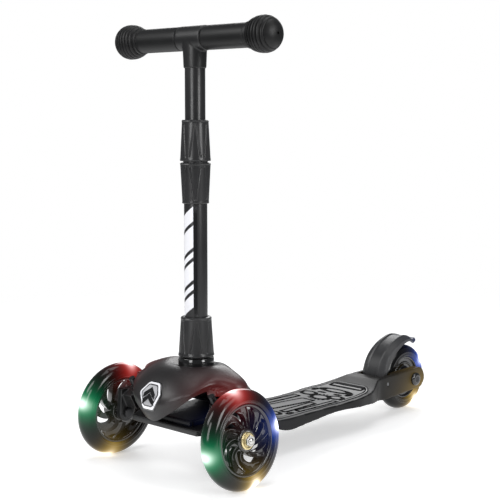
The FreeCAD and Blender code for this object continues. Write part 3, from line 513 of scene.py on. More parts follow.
# %% The repeating tree
REPEAT, values, result = node_group(
    "repeat a part", [("Count", "NodeSocketInt"), ("Step", "NodeSocketVector"), ("Turn", "NodeSocketVector"),
                      ("Part", "NodeSocketObject"), ("Finish", "NodeSocketMaterial")],
    [("Geometry", "NodeSocketGeometry")], kind="GeometryNodeTree")
index = node(REPEAT, "GeometryNodeInputIndex").outputs[0]
moved = vector_maths(REPEAT, "SCALE", values.outputs["Step"], scale=index)
swung = vector_maths(REPEAT, "SCALE", values.outputs["Turn"], scale=index)
spots = node(REPEAT, "GeometryNodePoints", Count=values.outputs["Count"], Position=moved)
source = node(REPEAT, "GeometryNodeObjectInfo", Object=values.outputs["Part"])
copies = node(REPEAT, "GeometryNodeInstanceOnPoints", Points=spots.outputs[0],
              Instance=source.outputs["Geometry"], Rotation=swung)
real = node(REPEAT, "GeometryNodeRealizeInstances", Geometry=copies.outputs[0])
coated = node(REPEAT, "GeometryNodeSetMaterial", Geometry=real.outputs[0],
              Material=values.outputs["Finish"])
fill(REPEAT, result, Geometry=coated.outputs[0])
SOCKETS = {item.name: item.identifier for item in REPEAT.interface.items_tree if item.in_out == "INPUT"}


def repeat(name, part, count, place, material, step=(0, 0, 0), turn=(0, 0, 0)):
    """Copies of a part as one plain mesh, put in place by a matrix; the part itself is used up."""
    host = add(name, bpy.data.meshes.new(name))
    modifier = host.modifiers.new("repeat", "NODES")
    modifier.node_group = REPEAT
    for label, value in zip(("Count", "Step", "Turn", "Part", "Finish"), (count, step, turn, part, material)):
        modifier[SOCKETS[label]] = value
    plain_mesh(host)
    host.data.transform(place)
    bpy.data.objects.remove(part)
    host.data.update()
    return host


print("repeat tree inputs:", sorted(SOCKETS))

# %% [markdown]
# ## Front wheels
# A front wheel is a glossy swirl-spoked hub with a clear tyre moulded round it. The tyre is a
# lathe of a half-round tread. The hub is a rim and a boss from the lathe, joined by curved blades:
# each blade is lofted once, with a raised edge on both sides of a groove, and repeated.

# %% Wheel parts
FRONT_RADIUS, FRONT_HALF, FRONT_RIM = 60.0, 12.0, 43.0
REAR_RADIUS, REAR_HALF, REAR_RIM = 48.0, 12.0, 31.0
LAMP_CIRCLE = {"left": 54.0, "right": 54.0, "rear": 42.0}
LAMP_ANGLES = {"right": 10, "left": -15, "rear": 32}
LAMP_COLOURS = {"right": (BLUE, RED, GREEN, YELLOW), "left": (None, RED, GREEN, YELLOW),
                "rear": (BLUE, None, None, YELLOW)}
LAMP_SIDE = {"right": (9, 0, 0, 6), "left": (0, 0, 0, 0), "rear": (6, 0, 0, 6)}
WHEELS = {}
for name in ("left", "right", "rear"):
    joint = JOINTS[f"wheel_{name}_spin"]
    WHEELS[name] = axle_frame(joint["pos_m"], joint["axis"])


def lamp_places(name):
    """Centres of a wheel's lit lamps with their colours; the lamps take turns, so some are dark."""
    place = WHEELS[name]
    up = place.to_3x3() @ Vector((1, 0, 0))
    behind = Vector((0, 1, 0))
    spots = []
    for number, colour in enumerate(LAMP_COLOURS[name]):
        if not colour:
            continue
        angle = math.radians(LAMP_ANGLES[name] + 90 * number)
        offset = (behind * math.cos(angle) + up * math.sin(angle)) * LAMP_CIRCLE[name] * MM
        offset += place.to_3x3() @ Vector((0, 0, LAMP_SIDE[name][number] * MM))
        spots.append((place.translation + offset, colour))
    return spots


def tyre(name, radius, half, rim, *rings_on_side):
    """Half-round tread over straight sides, with fine raised rings on the sides."""
    tread = [(radius - half + half * math.cos(math.radians(a)), half * math.sin(math.radians(a)))
             for a in range(-84, 85, 6)]
    side = []
    for ring in sorted(rings_on_side, reverse=True):
        side += [(ring + 0.9, half), (ring + 0.5, half + 0.5), (ring - 0.5, half + 0.5), (ring - 0.9, half)]
    side += [(rim + 1.4, half), (rim + 0.6, half - 0.5), (rim, half - 2.2)]
    mirrored = [(r, -h) for r, h in reversed(side)]
    piece = lathe(f"tyre_{name}_clear", mirrored + tread + side, WHEELS[name], steps=128, sharp=50)
    settle(piece, clear_tyre_finish(name), f"wheel_{name}", "tyre_clear", f"tyre_{name}")


def clear_tyre_finish(name):
    """Smoky clear polyurethane: dark in the middle, with a painted sheen that makes it paler where it is seen edge
    on, and the painted glow of its lamps.
    """
    material = finish(f"clear tyre {name}", grey(0.003), 0.12, grain=500.0, bump=0.02, wear=0.0, dust=0.0,
                      mottle=0.4, specular=0.35)
    tree = material.node_tree
    shader = tree.nodes["Principled BSDF"]
    # Painted sheen: the base colour turns paler where the tyre is seen edge on.
    painted_edge_sheen = node(tree, "ShaderNodeLayerWeight", Blend=0.28).outputs["Facing"]
    base = shader.inputs["Base Color"].links[0].from_socket
    fill(tree, shader, Base_Color=mix_colour(tree, painted_edge_sheen, base, (0.012, 0.0115, 0.012, 1)))
    return painted_lamp_glow(material, lamp_places(name), core=0.0062, reach=0.0115, strength=1.15)


def blade():
    """One spoke, drawn flat round local Z: a curved channel from the boss to the rim."""
    loops = []
    for step in range(15):
        t = step / 14
        radius = 12.2 + 27.2 * t
        bend = math.radians(46) * t ** 1.25
        half = 2.7 + 4.6 * t ** 2.2
        top = 7.6 - 4.4 * math.sin(math.pi * min(1, t * 1.15)) * (1 - 0.35 * t)
        edge = min(1.5, half * 0.42)
        section = [(-half, top - 9), (-half, top - 0.5), (-half + 0.4, top), (-half + edge * 0.8, top - 0.1),
                   (-half + edge * 1.3, top - 2.0), (0, top - 3.2), (half - edge * 1.3, top - 2.0),
                   (half - edge * 0.8, top - 0.1), (half - 0.4, top), (half, top - 0.5), (half, top - 9)]
        along = bend + math.radians(35) * t
        out = Vector((math.cos(bend), math.sin(bend), 0)) * radius
        across = Vector((-math.sin(along), math.cos(along), 0))
        loops.append([(out + across * offset + Vector((0, 0, height))) * MM for offset, height in section])
    return rings("blade", loops, closed=False, sharp=40)


SPOKES = 9


def front_hub(name):
    place = WHEELS[name]
    spokes = repeat(f"spokes_{name}", blade(), SPOKES, place, GLOSS, turn=(0, 0, 2 * math.pi / SPOKES))
    rim = turned("rim", [(FRONT_RIM, -10.6, 1.2), (FRONT_RIM, 10.6, 1.2), (40.2, 10.6, 1.0), (38.6, 8.2, 1.0),
                         (38.6, -8.2, 1.0), (40.2, -10.6, 1.0)], place, 128)
    boss = turned("boss", [(11, -10.5, 0.4), (14.2, -10.5, 1.4), (14.2, 9.2, 1.4), (12.9, 10.9, 0.8),
                           (11, 10.9, 0.3)], place, 72)
    return join(f"hub_{name}_swirl", spokes, rim, boss)


for name in ("left", "right"):
    tyre(name, FRONT_RADIUS, FRONT_HALF, FRONT_RIM, 46.5)
    hub_gloss = finish(f"hub gloss {name}", grey(0.007), 0.13, bump=0.03, coat=0.7, dust=0.01, wear=0.2)
    # Painted glow: the coloured light of this wheel's lamps is painted into the hub's emission.
    painted_lamp_glow(hub_gloss, lamp_places(name), core=0.0001, reach=0.017, strength=0.16)
    settle(front_hub(name), hub_gloss, f"wheel_{name}", "gloss_plastic", f"hub_{name}")
print("front wheels made, spokes:", SPOKES)

# %% [markdown]
# ## Rear wheel
# The rear wheel is smaller and mostly hidden by the fork and the brake. Its hub is a turned disc
# with concentric ridges, and fine rings run round the sides of its tyre.

# %% Rear wheel
tyre("rear", REAR_RADIUS, REAR_HALF, REAR_RIM, 34.0, 37.5)
face = [(REAR_RIM, 9.6, 0.8), (28.5, 9.6, 0.8), (27.5, 6.5, 1.0), (23, 6.5, 0.6), (22.4, 7.6, 0.4),
        (21.0, 7.6, 0.4), (20.4, 6.2, 0.6), (16, 6.2, 1.0), (14, 10.5, 1.0), (11, 10.5, 0.4)]
disc = turned("hub_rear_disc", [(r, -h, c) for r, h, c in face] + face[::-1], WHEELS["rear"])
settle(disc, GLOSS, "wheel_rear", "gloss_plastic", "hub_rear")
cap = turned("axle_cap_rear", [(0, 28, 0), (9.6, 28, 0.3), (9.6, 31, 1.2), (7.0, 32.8, 1.2), (3.4, 32.8, 0.6),
                               (2.6, 31.6, 0.4), (0, 31.6, 0)], axle_frame(REAR_AXLE, (1, 0, 0)), 64)
settle(cap, GLOSS, "chassis", "steel", "axle_nut_rear")
for node_name in ("brake_pin", "axle_bolt_rear", "centring_spring_left", "centring_spring_right",
                  "kingpin_left", "kingpin_right"):
    frame["nodes"][node_name].data.materials[0] = DARK_STEEL

# %% [markdown]
# ## Bolts, washers and nuts
# The bright spot in the middle of each wheel is a domed bolt end in a six-sided nut on a pale brass
# washer. A nut's corners are cut back at both ends, as real ones are.

# %% Axle fastenings


def hexagon(name, place, across, low, high, bore):
    """A nut: six flats, chamfered corners and an open bore."""
    def six_sided(radius, height, angle):
        if radius == bore:
            return radius, height
        flat = across / 2 / math.cos((angle % (math.pi / 3)) - math.pi / 6)
        return (flat if radius == 1 else min(flat, across / 2 * 1.11) * radius), height

    profile = [(bore, low), (0.94, low), (1, low + 0.8), (1, high - 0.8), (0.94, high), (bore, high)]
    return lathe(name, profile, place, 48, shape=six_sided, sharp=25)


WASHER = [(4.1, 11.0, 0.2), (10.5, 11.0, 0.5), (10.5, 12.2, 0.5), (8.6, 12.7, 0.5), (7.6, 12.1, 0.4),
          (4.1, 12.1, 0.2)]
BOLT = [(0, -26, 0), (6.4, -26, 1), (6.4, -22, 0.6), (4, -22, 0.2), (4, 18.2, 1.2), (2.2, 19.4, 0.8),
        (0, 19.6, 0)]
for name in ("left", "right"):
    place = WHEELS[name]
    body = f"knuckle_{name}"
    washer = turned(f"washer_{name}_dished", WASHER, place, 64)
    settle(washer, BRASS, body, "brass", f"washer_{name}")
    nut = hexagon(f"nut_{name}_hex", place, 12.4, 12.2, 17.0, 4.05)
    settle(nut, STEEL, body, "steel", f"axle_nut_{name}")
    bolt = turned(f"bolt_{name}_end", BOLT, place, 48)
    settle(bolt, STEEL, body, "steel", f"axle_bolt_{name}")
    # Painted shade: the bolt's head, inside the wheel in shade, takes the dark steel finish; its outer end stays
    # bright steel.
    bolt.data.materials.append(DARK_STEEL)
    for face in bolt.data.polygons:
        face.material_index = int((place.inverted() @ face.center).z < 0)

# %% [markdown]
# ## Handlebar
# The grips are plain rubber sleeves. Each ends in a ball that keeps small hands from slipping off:
# its inner part is grooved in rings, and its outer end is a smooth dome with a small
# moulding pit. The tee is two tubes run together; a remesh melts the join into a soft fillet.

# %% Grips, ball ends and tee
bar_low, bar_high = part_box("bar_tube")
BAR = (bar_low + bar_high) / 2
BALL_OUT, BALL_RADIUS, BALL_HALF = 117.6, 21.8, 20.2
RIDGES, RIDGE_PITCH = 7, 4.55


def ball_radius(distance):
    """Outside of the ball end at a distance from the middle plane, grooves cut in."""
    offset = (distance - BALL_OUT) / BALL_HALF
    if offset > 0:
        smooth = BALL_RADIUS * math.sqrt(max(0.0, 1 - min(1.0, offset) ** 2))
    else:
        smooth = BALL_RADIUS * (1 - 0.26 * abs(offset) ** 2.4)
    ridge = (distance - (BALL_OUT - BALL_HALF + 1.0)) / RIDGE_PITCH
    if 0 < ridge < RIDGES:
        smooth -= 2.3 * abs(math.cos(math.pi * ridge)) ** 10
    return smooth


for name, side in (("left", -1), ("right", 1)):
    place = axle_frame(BAR, (side, 0, 0))
    grip = outline([(11, 22.2, 0.3), (14.2, 22.2, 1.0), (14.8, 24, 1.0), (14.8, 92, 1.5), (14.2, 93.2, 0.6),
                    (16.2, 94.2, 0.8), (16.2, 98.4, 0.8), (11, 98.8, 0.3)], steps=5)
    settle(lathe(f"grip_{name}_sleeve", grip, place), RUBBER, "handlebar", "grip_rubber", f"grip_{name}")
    inner, tip = BALL_OUT - BALL_HALF + 0.6, BALL_OUT + BALL_HALF
    profile = [(11.0, inner), (15.0, inner)]
    steps = 84
    for step in range(steps):
        distance = inner + 0.4 + (tip - 0.25 - inner - 0.4) * math.sin(math.pi / 2 * step / (steps - 1))
        profile.append((max(ball_radius(distance), 1.9), distance))
    profile += [(1.7, tip - 0.3), (1.5, tip - 2.6), (0, tip - 2.8), (0, inner + 6), (11.0, inner + 6)]
    ball = lathe(f"ball_{name}_ribbed", profile, place, sharp=55)
    settle(ball, RUBBER, "handlebar", "grip_rubber", f"ball_end_{name}")

tee_low, tee_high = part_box("tee_joint")
across_place = axle_frame(BAR, (1, 0, 0))
cross = lathe("cross", outline([(0, -22, 0), (15.3, -22, 2.5), (15.3, 22, 2.5), (0, 22, 0)], 5), across_place)
column_place = Matrix.Translation((0, COLUMN_Y, 0))
stem_foot = tee_low.z / MM
stem = turned("stem", [(0, stem_foot, 0), (13.9, stem_foot, 1.0), (15.3, BAR.z / MM, 0), (0, BAR.z / MM, 0)],
              column_place)
tee = join("tee_joint_moulded", cross, stem)
modify(tee, "REMESH", mode="VOXEL", voxel_size=0.8 * MM, use_smooth_shade=True)
modify(tee, "SMOOTH", factor=0.9, iterations=5)
settle(plain_mesh(tee), SATIN, "handlebar", "satin_plastic", "tee_joint")

# %% [markdown]
# ## Column
# The three twist collars are cones with an embossed pattern of slanted grooves that taper towards
# the joint between them. `shape` in the lathe cuts them: the groove is a line in angle and
# height that repeats six times round the collar. Seams are real gaps between two pieces.

# %% Collars, tubes and socket


def levels(node_name):
    """Lowest and highest point of a CAD node, in millimetres."""
    low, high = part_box(node_name)
    return low.z / MM, high.z / MM


def collar(node_name, foot, head, bore, lip_low, lip_high, upward, body):
    """A twist collar, its grooves pointing up or down, with a lip at either end."""
    low, high = levels(node_name)
    rows = [(bore, low), (foot + lip_low - 0.6, low), (foot + lip_low, low + 0.6)]
    count = int((high - low - 4) / 0.8)
    for row in range(count + 1):
        t = row / count
        height = low + 2 + (high - low - 4) * t
        radius = foot + (head - foot) * t
        swell = lip_low * max(0.0, 1 - (height - low) / 4) + lip_high * max(0.0, 1 - (high - height) / 3.5)
        rows.append((radius + swell, height))
    lip = head + lip_high
    rows += [(lip, high - 1.8), (lip - 0.4, high - 0.8), (lip - 1.5, high), (bore, high)]

    def grooved(radius, height, angle):
        if radius < bore + 2:
            return radius, height
        t = (height - low) / (high - low)
        if not 0.1 < t < 0.9:
            return radius, height
        rise = (t - 0.1) / 0.8 if upward else (0.9 - t) / 0.8
        turn = (angle / (2 * math.pi) * 6 + 0.25) % 1 - 0.5
        line = abs(abs(turn) - (0.36 - 0.28 * rise))
        edge = max(0.0, 1 - line / 0.06)
        return radius - 0.9 * min(1.0, edge * 1.6), height

    piece = lathe(f"{node_name}_ribbed", rows, column_place, 240, shape=grooved, sharp=60)
    settle(piece, COLLAR, body, "satin_plastic", node_name)


collar("base_collar", 22.0, 19.0, 14.35, 0.7, 0.3, True, "base_collar")
collar("clamp_sleeve", 16.3, 18.6, 14.3, 0.3, 0.4, False, "chassis")
collar("twist_collar", 18.6, 16.3, 12.9, 0.4, 0.5, True, "twist_collar")

LOWER_RADIUS, UPPER_RADIUS = 14.3, 12.5
for name, bore, outside, body in (("lower_tube", 12.6, LOWER_RADIUS, "chassis"),
                                  ("upper_tube", 10.9, UPPER_RADIUS, "handlebar")):
    low, high = levels(name)
    wall = [(bore, low, 0.2), (outside, low, 0.4), (outside, high, 0.4), (bore, high, 0.2)]
    settle(turned(f"{name}_coated", wall, column_place), TUBE, body, "tube_black", name)
low, high = levels("column_socket")
ring = [(14.4, low, 0.3), (19.6, low, 0.8), (19.6, 125.5, 0.3), (22.2, 126, 0.8), (22.7, 128.5, 0.8),
        (22.4, 134.5, 0.8), (21.6, 138, 0.9), (16.4, 138, 0.3), (16.4, high, 0.4), (14.4, high, 0.3)]
socket = turned("column_socket_ring", ring, column_place)
settle(socket, GLOSS, "chassis", "gloss_plastic", "column_socket")
print("column made, bar centre at", [round(v / MM, 1) for v in BAR])

# %% [markdown]
# ## Floor
# The scooter stands on a pale floor that catches a soft shadow. The floor fades out in a circle, so
# it melts into the white background from every side and leaves no horizon line.

# %% Floor
FLOOR_REACH = 1.9
rim = [Matrix.Rotation(math.radians(angle), 4, "Z") @ Vector((FLOOR_REACH, 0, 0)) for angle in range(0, 360, 5)]
floor = mesh_piece("floor", rim, [tuple(range(len(rim)))])
paint = bpy.data.materials.new("pale floor")
paint.use_nodes = True
tree = paint.node_tree
fade = node(tree, "ShaderNodeMapRange", interpolation_type="SMOOTHSTEP", From_Min=0.5, From_Max=1.5,
            To_Min=1.0, To_Max=0.0, Value=vector_maths(tree, "LENGTH", place_of(tree)))
fill(tree, tree.nodes["Principled BSDF"], Base_Color=(0.9, 0.9, 0.9, 1), Roughness=0.6, Alpha=fade.outputs[0],
     Emission_Color=(1, 1, 1, 1), Emission_Strength=0.42)
floor.data.materials.append(paint)

# %% [markdown]
# ## Front housing
# The housing is one moulded shell: a blunt nose, a shoulder over each kingpin and a tail that runs
# down to the deck. A coarse cage and a subdivision surface give the smooth swells of such
# a moulding. Each column of the cage runs from the column's ring down to the rim, and a creased row
# above the rim draws the bevelled band along the lower edge. Solidify adds the wall.

# %% Front housing


def shell(name, columns, crease_row, wall, levels=3):
    """A mirrored cage of columns from top to rim, subdivided and given a wall on its inner side.

    Subdividing pulls a surface inside its cage, so the cage is pushed out until it runs through the places.
    """
    mirrored = [[(-x, back, z) for x, back, z in column] for column in reversed(columns[1:-1])]
    ring = columns + mirrored
    rows = len(ring[0])
    points = [at(*corner) for column in ring for corner in column]
    faces = [tuple(number % len(points) for number in face) for face in grid_faces(len(ring), rows - 1)]
    piece = mesh_piece(name, points, faces, sharp=180)
    front = min(piece.data.polygons, key=lambda face: face.center.y)
    if front.normal.y > 0:
        piece.data.flip_normals()
    creased = [at(*column[crease_row]) for column in ring]
    on_row = [any((vertex.co - place).length < 1e-6 for place in creased) for vertex in piece.data.vertices]
    crease = piece.data.attributes.new("crease_edge", "FLOAT", "EDGE")
    for edge in piece.data.edges:
        crease.data[edge.index].value = 0.7 * all(on_row[number] for number in edge.vertices)
    modify(piece, "SUBSURF", levels=levels, render_levels=levels)
    goals = [vertex.co.copy() for vertex in piece.data.vertices]
    for _ in range(3):
        smooth = piece.evaluated_get(bpy.context.evaluated_depsgraph_get()).data
        reached = [smooth.vertices[index].co.copy() for index in range(len(goals))]
        for vertex, goal, found in zip(piece.data.vertices, goals, reached):
            vertex.co += (goal - found) * 0.8
        piece.data.update()
    modify(piece, "SOLIDIFY", thickness=wall * MM, offset=-1)
    shade(plain_mesh(piece).data, 50)
    return piece


def moulded(name, corners, low, high, soft, place, sharp=40):
    """A rounded outline given thickness, with a soft edge round both faces."""
    flat = outline(corners)
    count = len(flat)
    area = sum(flat[i - 1].cross(flat[i]) for i in range(count))
    loops = []
    for inset, height in ((soft, low), (soft * 0.3, low + soft * 0.3), (0, low + soft),
                          (0, high - soft), (soft * 0.3, high - soft * 0.3), (soft, high)):
        loop = []
        for index, point in enumerate(flat):
            along = (flat[(index + 1) % count] - flat[index - 1]).normalized()
            inward = Vector((-along.y, along.x)) * math.copysign(inset, area)
            loop.append(place @ (Vector((point.x + inward.x, point.y + inward.y, height)) * MM))
        loops.append(loop)
    return rings(name, loops, closed=False, sharp=sharp)


HOUSING_CAGE = [
    [(0, 13.3, 128), (0, 0, 131.5), (0, -18, 125.5), (0, -34, 111), (0, -42.5, 94), (0, -42, 79), (0, -36.5, 69)],
    [(8.7, 15, 128), (14, 2, 131.5), (20, -16, 125.5), (23, -33, 111), (23, -42, 97), (22, -41.5, 86),
     (19, -37, 77)],
    [(16, 20, 128), (27, 8, 131.5), (39, -7, 124), (44, -21, 113), (44, -29, 105), (42, -31.5, 99), (37, -29, 90)],
    [(21, 27, 128.5), (34, 20, 132), (47, 11, 127), (54, 0, 121), (57, -8, 116.5), (57, -14, 112), (53, -18, 104)],
    [(22.2, 31, 128.5), (38, 27, 132.5), (54, 21, 128), (60, 13, 124), (63, 10, 120.5), (64, 9, 117), (63, 9, 110)],
    [(22.7, 36, 128.5), (40, 33, 132.5), (60, 29, 127.5), (74, 25, 122), (81, 23, 117), (83, 22, 112),
     (82, 22, 105)],
    [(22.5, 40, 128.5), (39, 41, 132.5), (60, 42, 127), (76, 42, 120), (83, 42, 113), (84, 42, 108), (83, 42, 103)],
    [(21, 45, 128.5), (34, 49, 131.5), (48, 54, 124), (58, 57, 115), (64, 58, 108), (66, 58, 103), (65, 58, 98)],
    [(14, 53.5, 128.5), (20, 62, 129), (30, 70, 120), (40, 74, 110), (46, 76, 100), (48, 77, 94), (48, 77, 88)],
    [(7, 58, 128.5), (9, 70, 126), (16, 86, 111), (28, 96, 97), (40, 104, 82), (45, 109, 70), (47, 111, 60)],
    [(0, 58.7, 128.5), (0, 72, 125), (0, 90, 109), (0, 103, 92), (0, 114, 78), (0, 124, 64), (0, 131, 52)]]
housing_parts = [shell("shell", HOUSING_CAGE, crease_row=5, wall=2.6)]
here = Matrix.Translation((0, AXLE_Y, 0))
for side in (-1, 1):
    ear = [(side * 56, -2, 4), (side * 76, 2, 7), (side * 76, 24, 3), (side * 56, 24, 3)]
    housing_parts.append(moulded("ear", ear, 104, 111, 1.5, here))
    section = [(-0.9, 4, 0.5), (0.9, 4, 0.5), (0.9, 22, 0.5), (-0.9, 22, 0.5)]
    rib = moulded("rib", section, 0, 8.5, 0.5, Matrix())
    first = upright(side * 60, -4, 105)
    housing_parts.append(repeat("ribs", rib, 3, first, SATIN, step=(side * 5.4 * MM, 0, 0)))
housing = join("front_housing_shell", *housing_parts)
# Painted glow: the light of the two red front lamps is painted into the housing's emission.
red_lamps_painted_on_housing = [lamp_places("right")[1], lamp_places("left")[0]]
HOUSING = finish("housing nylon", grey(0.012), 0.38, bump=0.25, dust=0.02)
painted_lamp_glow(HOUSING, red_lamps_painted_on_housing, core=0.0001, reach=0.026, strength=0.55)
settle(housing, HOUSING, "chassis", "satin_plastic", "front_housing")
print("front housing triangles:", len(housing.data.polygons) * 2)

# %% [markdown]
# ## Badge
# A six-sided plate is set into the nose, with a white rim round a silver field and a plain
# chevron. Each layer is drawn flat and then dropped onto the housing with rays, so it
# follows the swell of the nose and stands a fixed height proud of it.

# %% Badge


def rays_on(piece):
    """A tree that finds where a ray meets a piece."""
    bm = bmesh.new()
    bm.from_mesh(piece.data)
    found = BVHTree.FromBMesh(bm)
    bm.free()
    return found


NOSE = rays_on(housing)
BADGE_PLACE = Matrix.Translation(at(0, -38.5, 100.3)) @ Matrix.Rotation(math.radians(66), 4, "X")


def draped(name, corners, scales, proud, depth, slide=(0, 0)):
    """An outline laid on the nose: loops from the middle outwards, then a skirt back into the nose."""
    flat = outline(corners, 3)
    middle = Vector((0, 0))
    for point in flat:
        middle += point / len(flat)
    outward = BADGE_PLACE.to_3x3() @ Vector((0, 0, 1))
    loops = []
    for scale, height in [(scale, proud) for scale in scales] + [(scales[-1] * 1.03, proud - 0.35),
                                                                 (scales[-1] * 1.03, proud - depth)]:
        loop = []
        for point in flat:
            spot = middle + (point - middle) * scale + Vector(slide)
            start = BADGE_PLACE @ (Vector((spot.x, spot.y, 0)) * MM)
            hit = NOSE.ray_cast(start + outward * 0.03, -outward)[0]
            loop.append(hit + outward * height * MM)
        loops.append(loop)
    return rings(name, loops, closed=False, sharp=28)


PLATE = [(-9.4, 17.6, 3), (9.4, 17.6, 3), (19, 2.5, 3), (9.4, -17.2, 3), (-9.4, -17.2, 3), (-19, 2.5, 3)]
ARROW = [(0, 10, 0.5), (9.5, 1.5, 0.5), (9.5, -4.5, 0.5), (0, 4, 0.5), (-9.5, -4.5, 0.5), (-9.5, 1.5, 0.5)]
SILVER = finish("silver field", grey(0.5), 0.28, metallic=0.35, grain=1500.0, bump=0.08, mottle=0.1)
for name, size, proud, depth, material, *nodes in (
        ("badge_base", 1.0, 1.5, 3.0, STRIPE, "badge_plate"), ("badge_rim", 0.93, 1.8, 1.0, WHITE),
        ("badge_line", 0.79, 2.0, 0.8, STRIPE), ("badge_field", 0.71, 2.15, 0.8, SILVER)):
    layer = draped(name, PLATE, [scale * size for scale in (0.02, 0.3, 0.6, 0.85, 1.0)], proud, depth)
    settle(layer, material, "chassis", "badge", *nodes)
for number, drop in enumerate((0.5, -7.5)):
    chevron = draped(f"badge_chevron_{number}", ARROW, [0.6, 0.8, 1.0], 2.5, 0.9, slide=(0, drop))
    settle(chevron, STRIPE, "chassis", "badge")

# %% [markdown]
# ## Standing pad
# The rubber pad carries a moulded pattern of raised panels with sunken lines round them. It is a
# fine grid over the CAD pad: rays give the height and the width of each row, and a height
# field made of boxes and ovals, each drawn by its distance, raises and sinks the grid. The
# sides and the underside close it. The sunken lines get painted shade: a second, darker
# material on the faces that lie deep.

# %% Pad pattern


def box_away(x, s, centre, half, slant):
    """Distance from a slanted box, negative inside."""
    u = abs(x - centre[0] - slant * (s - centre[1])) - half[0]
    v = abs(s - centre[1]) - half[1]
    return math.hypot(max(u, 0), max(v, 0)) + min(max(u, v), 0)


def oval_away(x, s, centre, half):
    return (math.hypot((x - centre[0]) / half[0], (s - centre[1]) / half[1]) - 1) * min(half)


PANELS = [((-5, 212), (9, 34), 0.12), ((-30, 214), (3.0, 40), 0.04), ((20, 204), (3.2, 30), -0.05),
          ((34, 226), (2.0, 36), 0.0), ((0, 331), (26, 2.6), 0.0)]
OVALS = [((-16, 156), (12, 7)), ((16, 158), (9, 5.5)), ((4, 268), (11, 7)), ((-24, 276), (9, 5.5)),
         ((24, 278), (8, 5)), ((0, 306), (17, 5))]
PITS = [((-1, 172), (5, 4)), ((34, 172), (4, 8)), ((-35, 158), (3.5, 9)), ((32, 144), (5, 3)),
        ((-12, 290), (8, 3)), ((16, 291), (8, 3)), ((-31, 298), (5, 7)), ((30, 299), (5, 7))]
SUNK_WIDTH, SUNK, RAISED = 4.2, -1.2, 0.3
TEETH = [((-16, 158), 17), ((4, 268), 17)]


def pattern(x, s, edge):
    """Height of the pattern, a distance s behind the front axle and edge from the pad's side."""
    away = min([box_away(x, s, *panel) for panel in PANELS] + [oval_away(x, s, *oval) for oval in OVALS])
    height = 0.0
    if away < 0:
        height = RAISED * min(1, -away / 0.6)
    elif away < SUNK_WIDTH:
        height = SUNK * min(1, away / 0.5, (SUNK_WIDTH - away) / 0.7)
    if away >= SUNK_WIDTH:
        height = SUNK * min(1, max(0, -min(oval_away(x, s, *pit) for pit in PITS)) / 0.5)
    for centre, reach in TEETH:
        gone = math.hypot(x - centre[0], (s - centre[1]) * 1.3)
        turn = math.degrees(math.atan2(s - centre[1], x - centre[0])) % 24
        if away >= SUNK_WIDTH and reach - 3 < gone < reach + 2.5 and 6 < turn < 18:
            height = SUNK * 0.8
    if 3.2 < edge < 5.2:
        height = SUNK * min(1, (edge - 3.2) / 0.5, (5.2 - edge) / 0.5)
    return height * min(1, max(0, (edge - 1) / 1.5)) if edge < 3 else height


PAD = rays_on(frame["nodes"]["deck_pad"])
low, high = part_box("deck_pad")
ROWS, COLUMNS, INSET, PAD_DEPTH = 320, 144, 0.25, 1.6
points, depths = [], []
rows_y = [low.y + INSET * MM + (high.y - low.y - 2 * INSET * MM) * row / ROWS for row in range(ROWS + 1)]


def pad_level(y):
    """Height of the pad's top at a distance along it, from the first of some rays that meets it."""
    for x in (0.3, 15, 30, 38):
        hit = PAD.ray_cast(Vector((x * MM, y, high.z + 0.05)), Vector((0, 0, -1)))[0]
        if hit:
            return hit.z
    return None


found = {row: pad_level(y) for row, y in enumerate(rows_y)}
met = [row for row in found if found[row] is not None]
wide = high.x
for row, y in enumerate(rows_y):
    top = found[min(met, key=lambda other: abs(other - row))]
    aside = PAD.ray_cast(Vector((high.x + 0.05, y, top - 0.0006)), Vector((-1, 0, 0)))[0]
    wide = aside.x if aside else wide
    s = (y - AXLE_Y) / MM
    to_end = min(y - low.y, high.y - y) / MM
    for column in range(COLUMNS + 1):
        x = wide * (2 * column / COLUMNS - 1)
        edge = min((wide - abs(x)) / MM, to_end)
        rounding = -0.5 * max(0, 1 - edge / 1.2) ** 2
        depths.append(pattern(x / MM, s, edge))
        points.append(Vector((x, y, top + (depths[-1] + rounding) * MM)))
rim = grid_edge(ROWS, COLUMNS)
base = len(points)
points += [points[number] - Vector((0, 0, PAD_DEPTH * MM)) for number in rim]
below = {number: base + place for place, number in enumerate(rim)}
faces = grid_faces(ROWS, COLUMNS) + walls(list(below.values()), rim)


def underside(row):
    """Points under a row: all of them at the pad's two ends, else the first and the last."""
    numbers = range(row * (COLUMNS + 1), (row + 1) * (COLUMNS + 1))
    return [below[number] for number in (numbers if row in (0, ROWS) else (numbers[0], numbers[-1]))]


faces += [(*reversed(underside(row)), *underside(row + 1)) for row in range(ROWS)]
PAD_RUBBER = finish("pad rubber", grey(0.03), 0.34, grain=1300.0, bump=0.1, dust=0.06)
PAINTED_GROOVE_SHADE = finish("pad groove painted shade", grey(0.0012), 0.7, grain=1300.0, bump=0.2, wear=0.0, dust=0.0, specular=0.06)
near_deck = [lamp_places("right")[0]]
# Painted glow: the light of the right front wheel's blue lamp is painted into the pad's emission.
painted_lamp_glow(PAD_RUBBER, near_deck, core=0.0001, reach=0.03, strength=0.5)
pad = mesh_piece("deck_pad_pattern", points, faces, sharp=60)
settle(pad, PAD_RUBBER, "chassis", "pad_rubber", "deck_pad")
# Painted shade: faces that lie deep in the sunken lines take the near black groove finish.
pad.data.materials.append(PAINTED_GROOVE_SHADE)
for face in pad.data.polygons:
    depth = sum(depths[number] for number in face.vertices) / 4 if face.index < ROWS * COLUMNS else 0
    face.material_index = int(depth < SUNK * 0.45)
print("pad grid:", ROWS, "x", COLUMNS)

# %% [markdown]
# ## Deck
# The deck, the knuckles and the lower plate keep their CAD shape, but a moulding has no
# knife edges. `softened` copies the CAD mesh, rebuilds it as an even skin and smooths it, so
# every corner gets the small round that a mould leaves, and then thins it out again.

# %% Softened mouldings


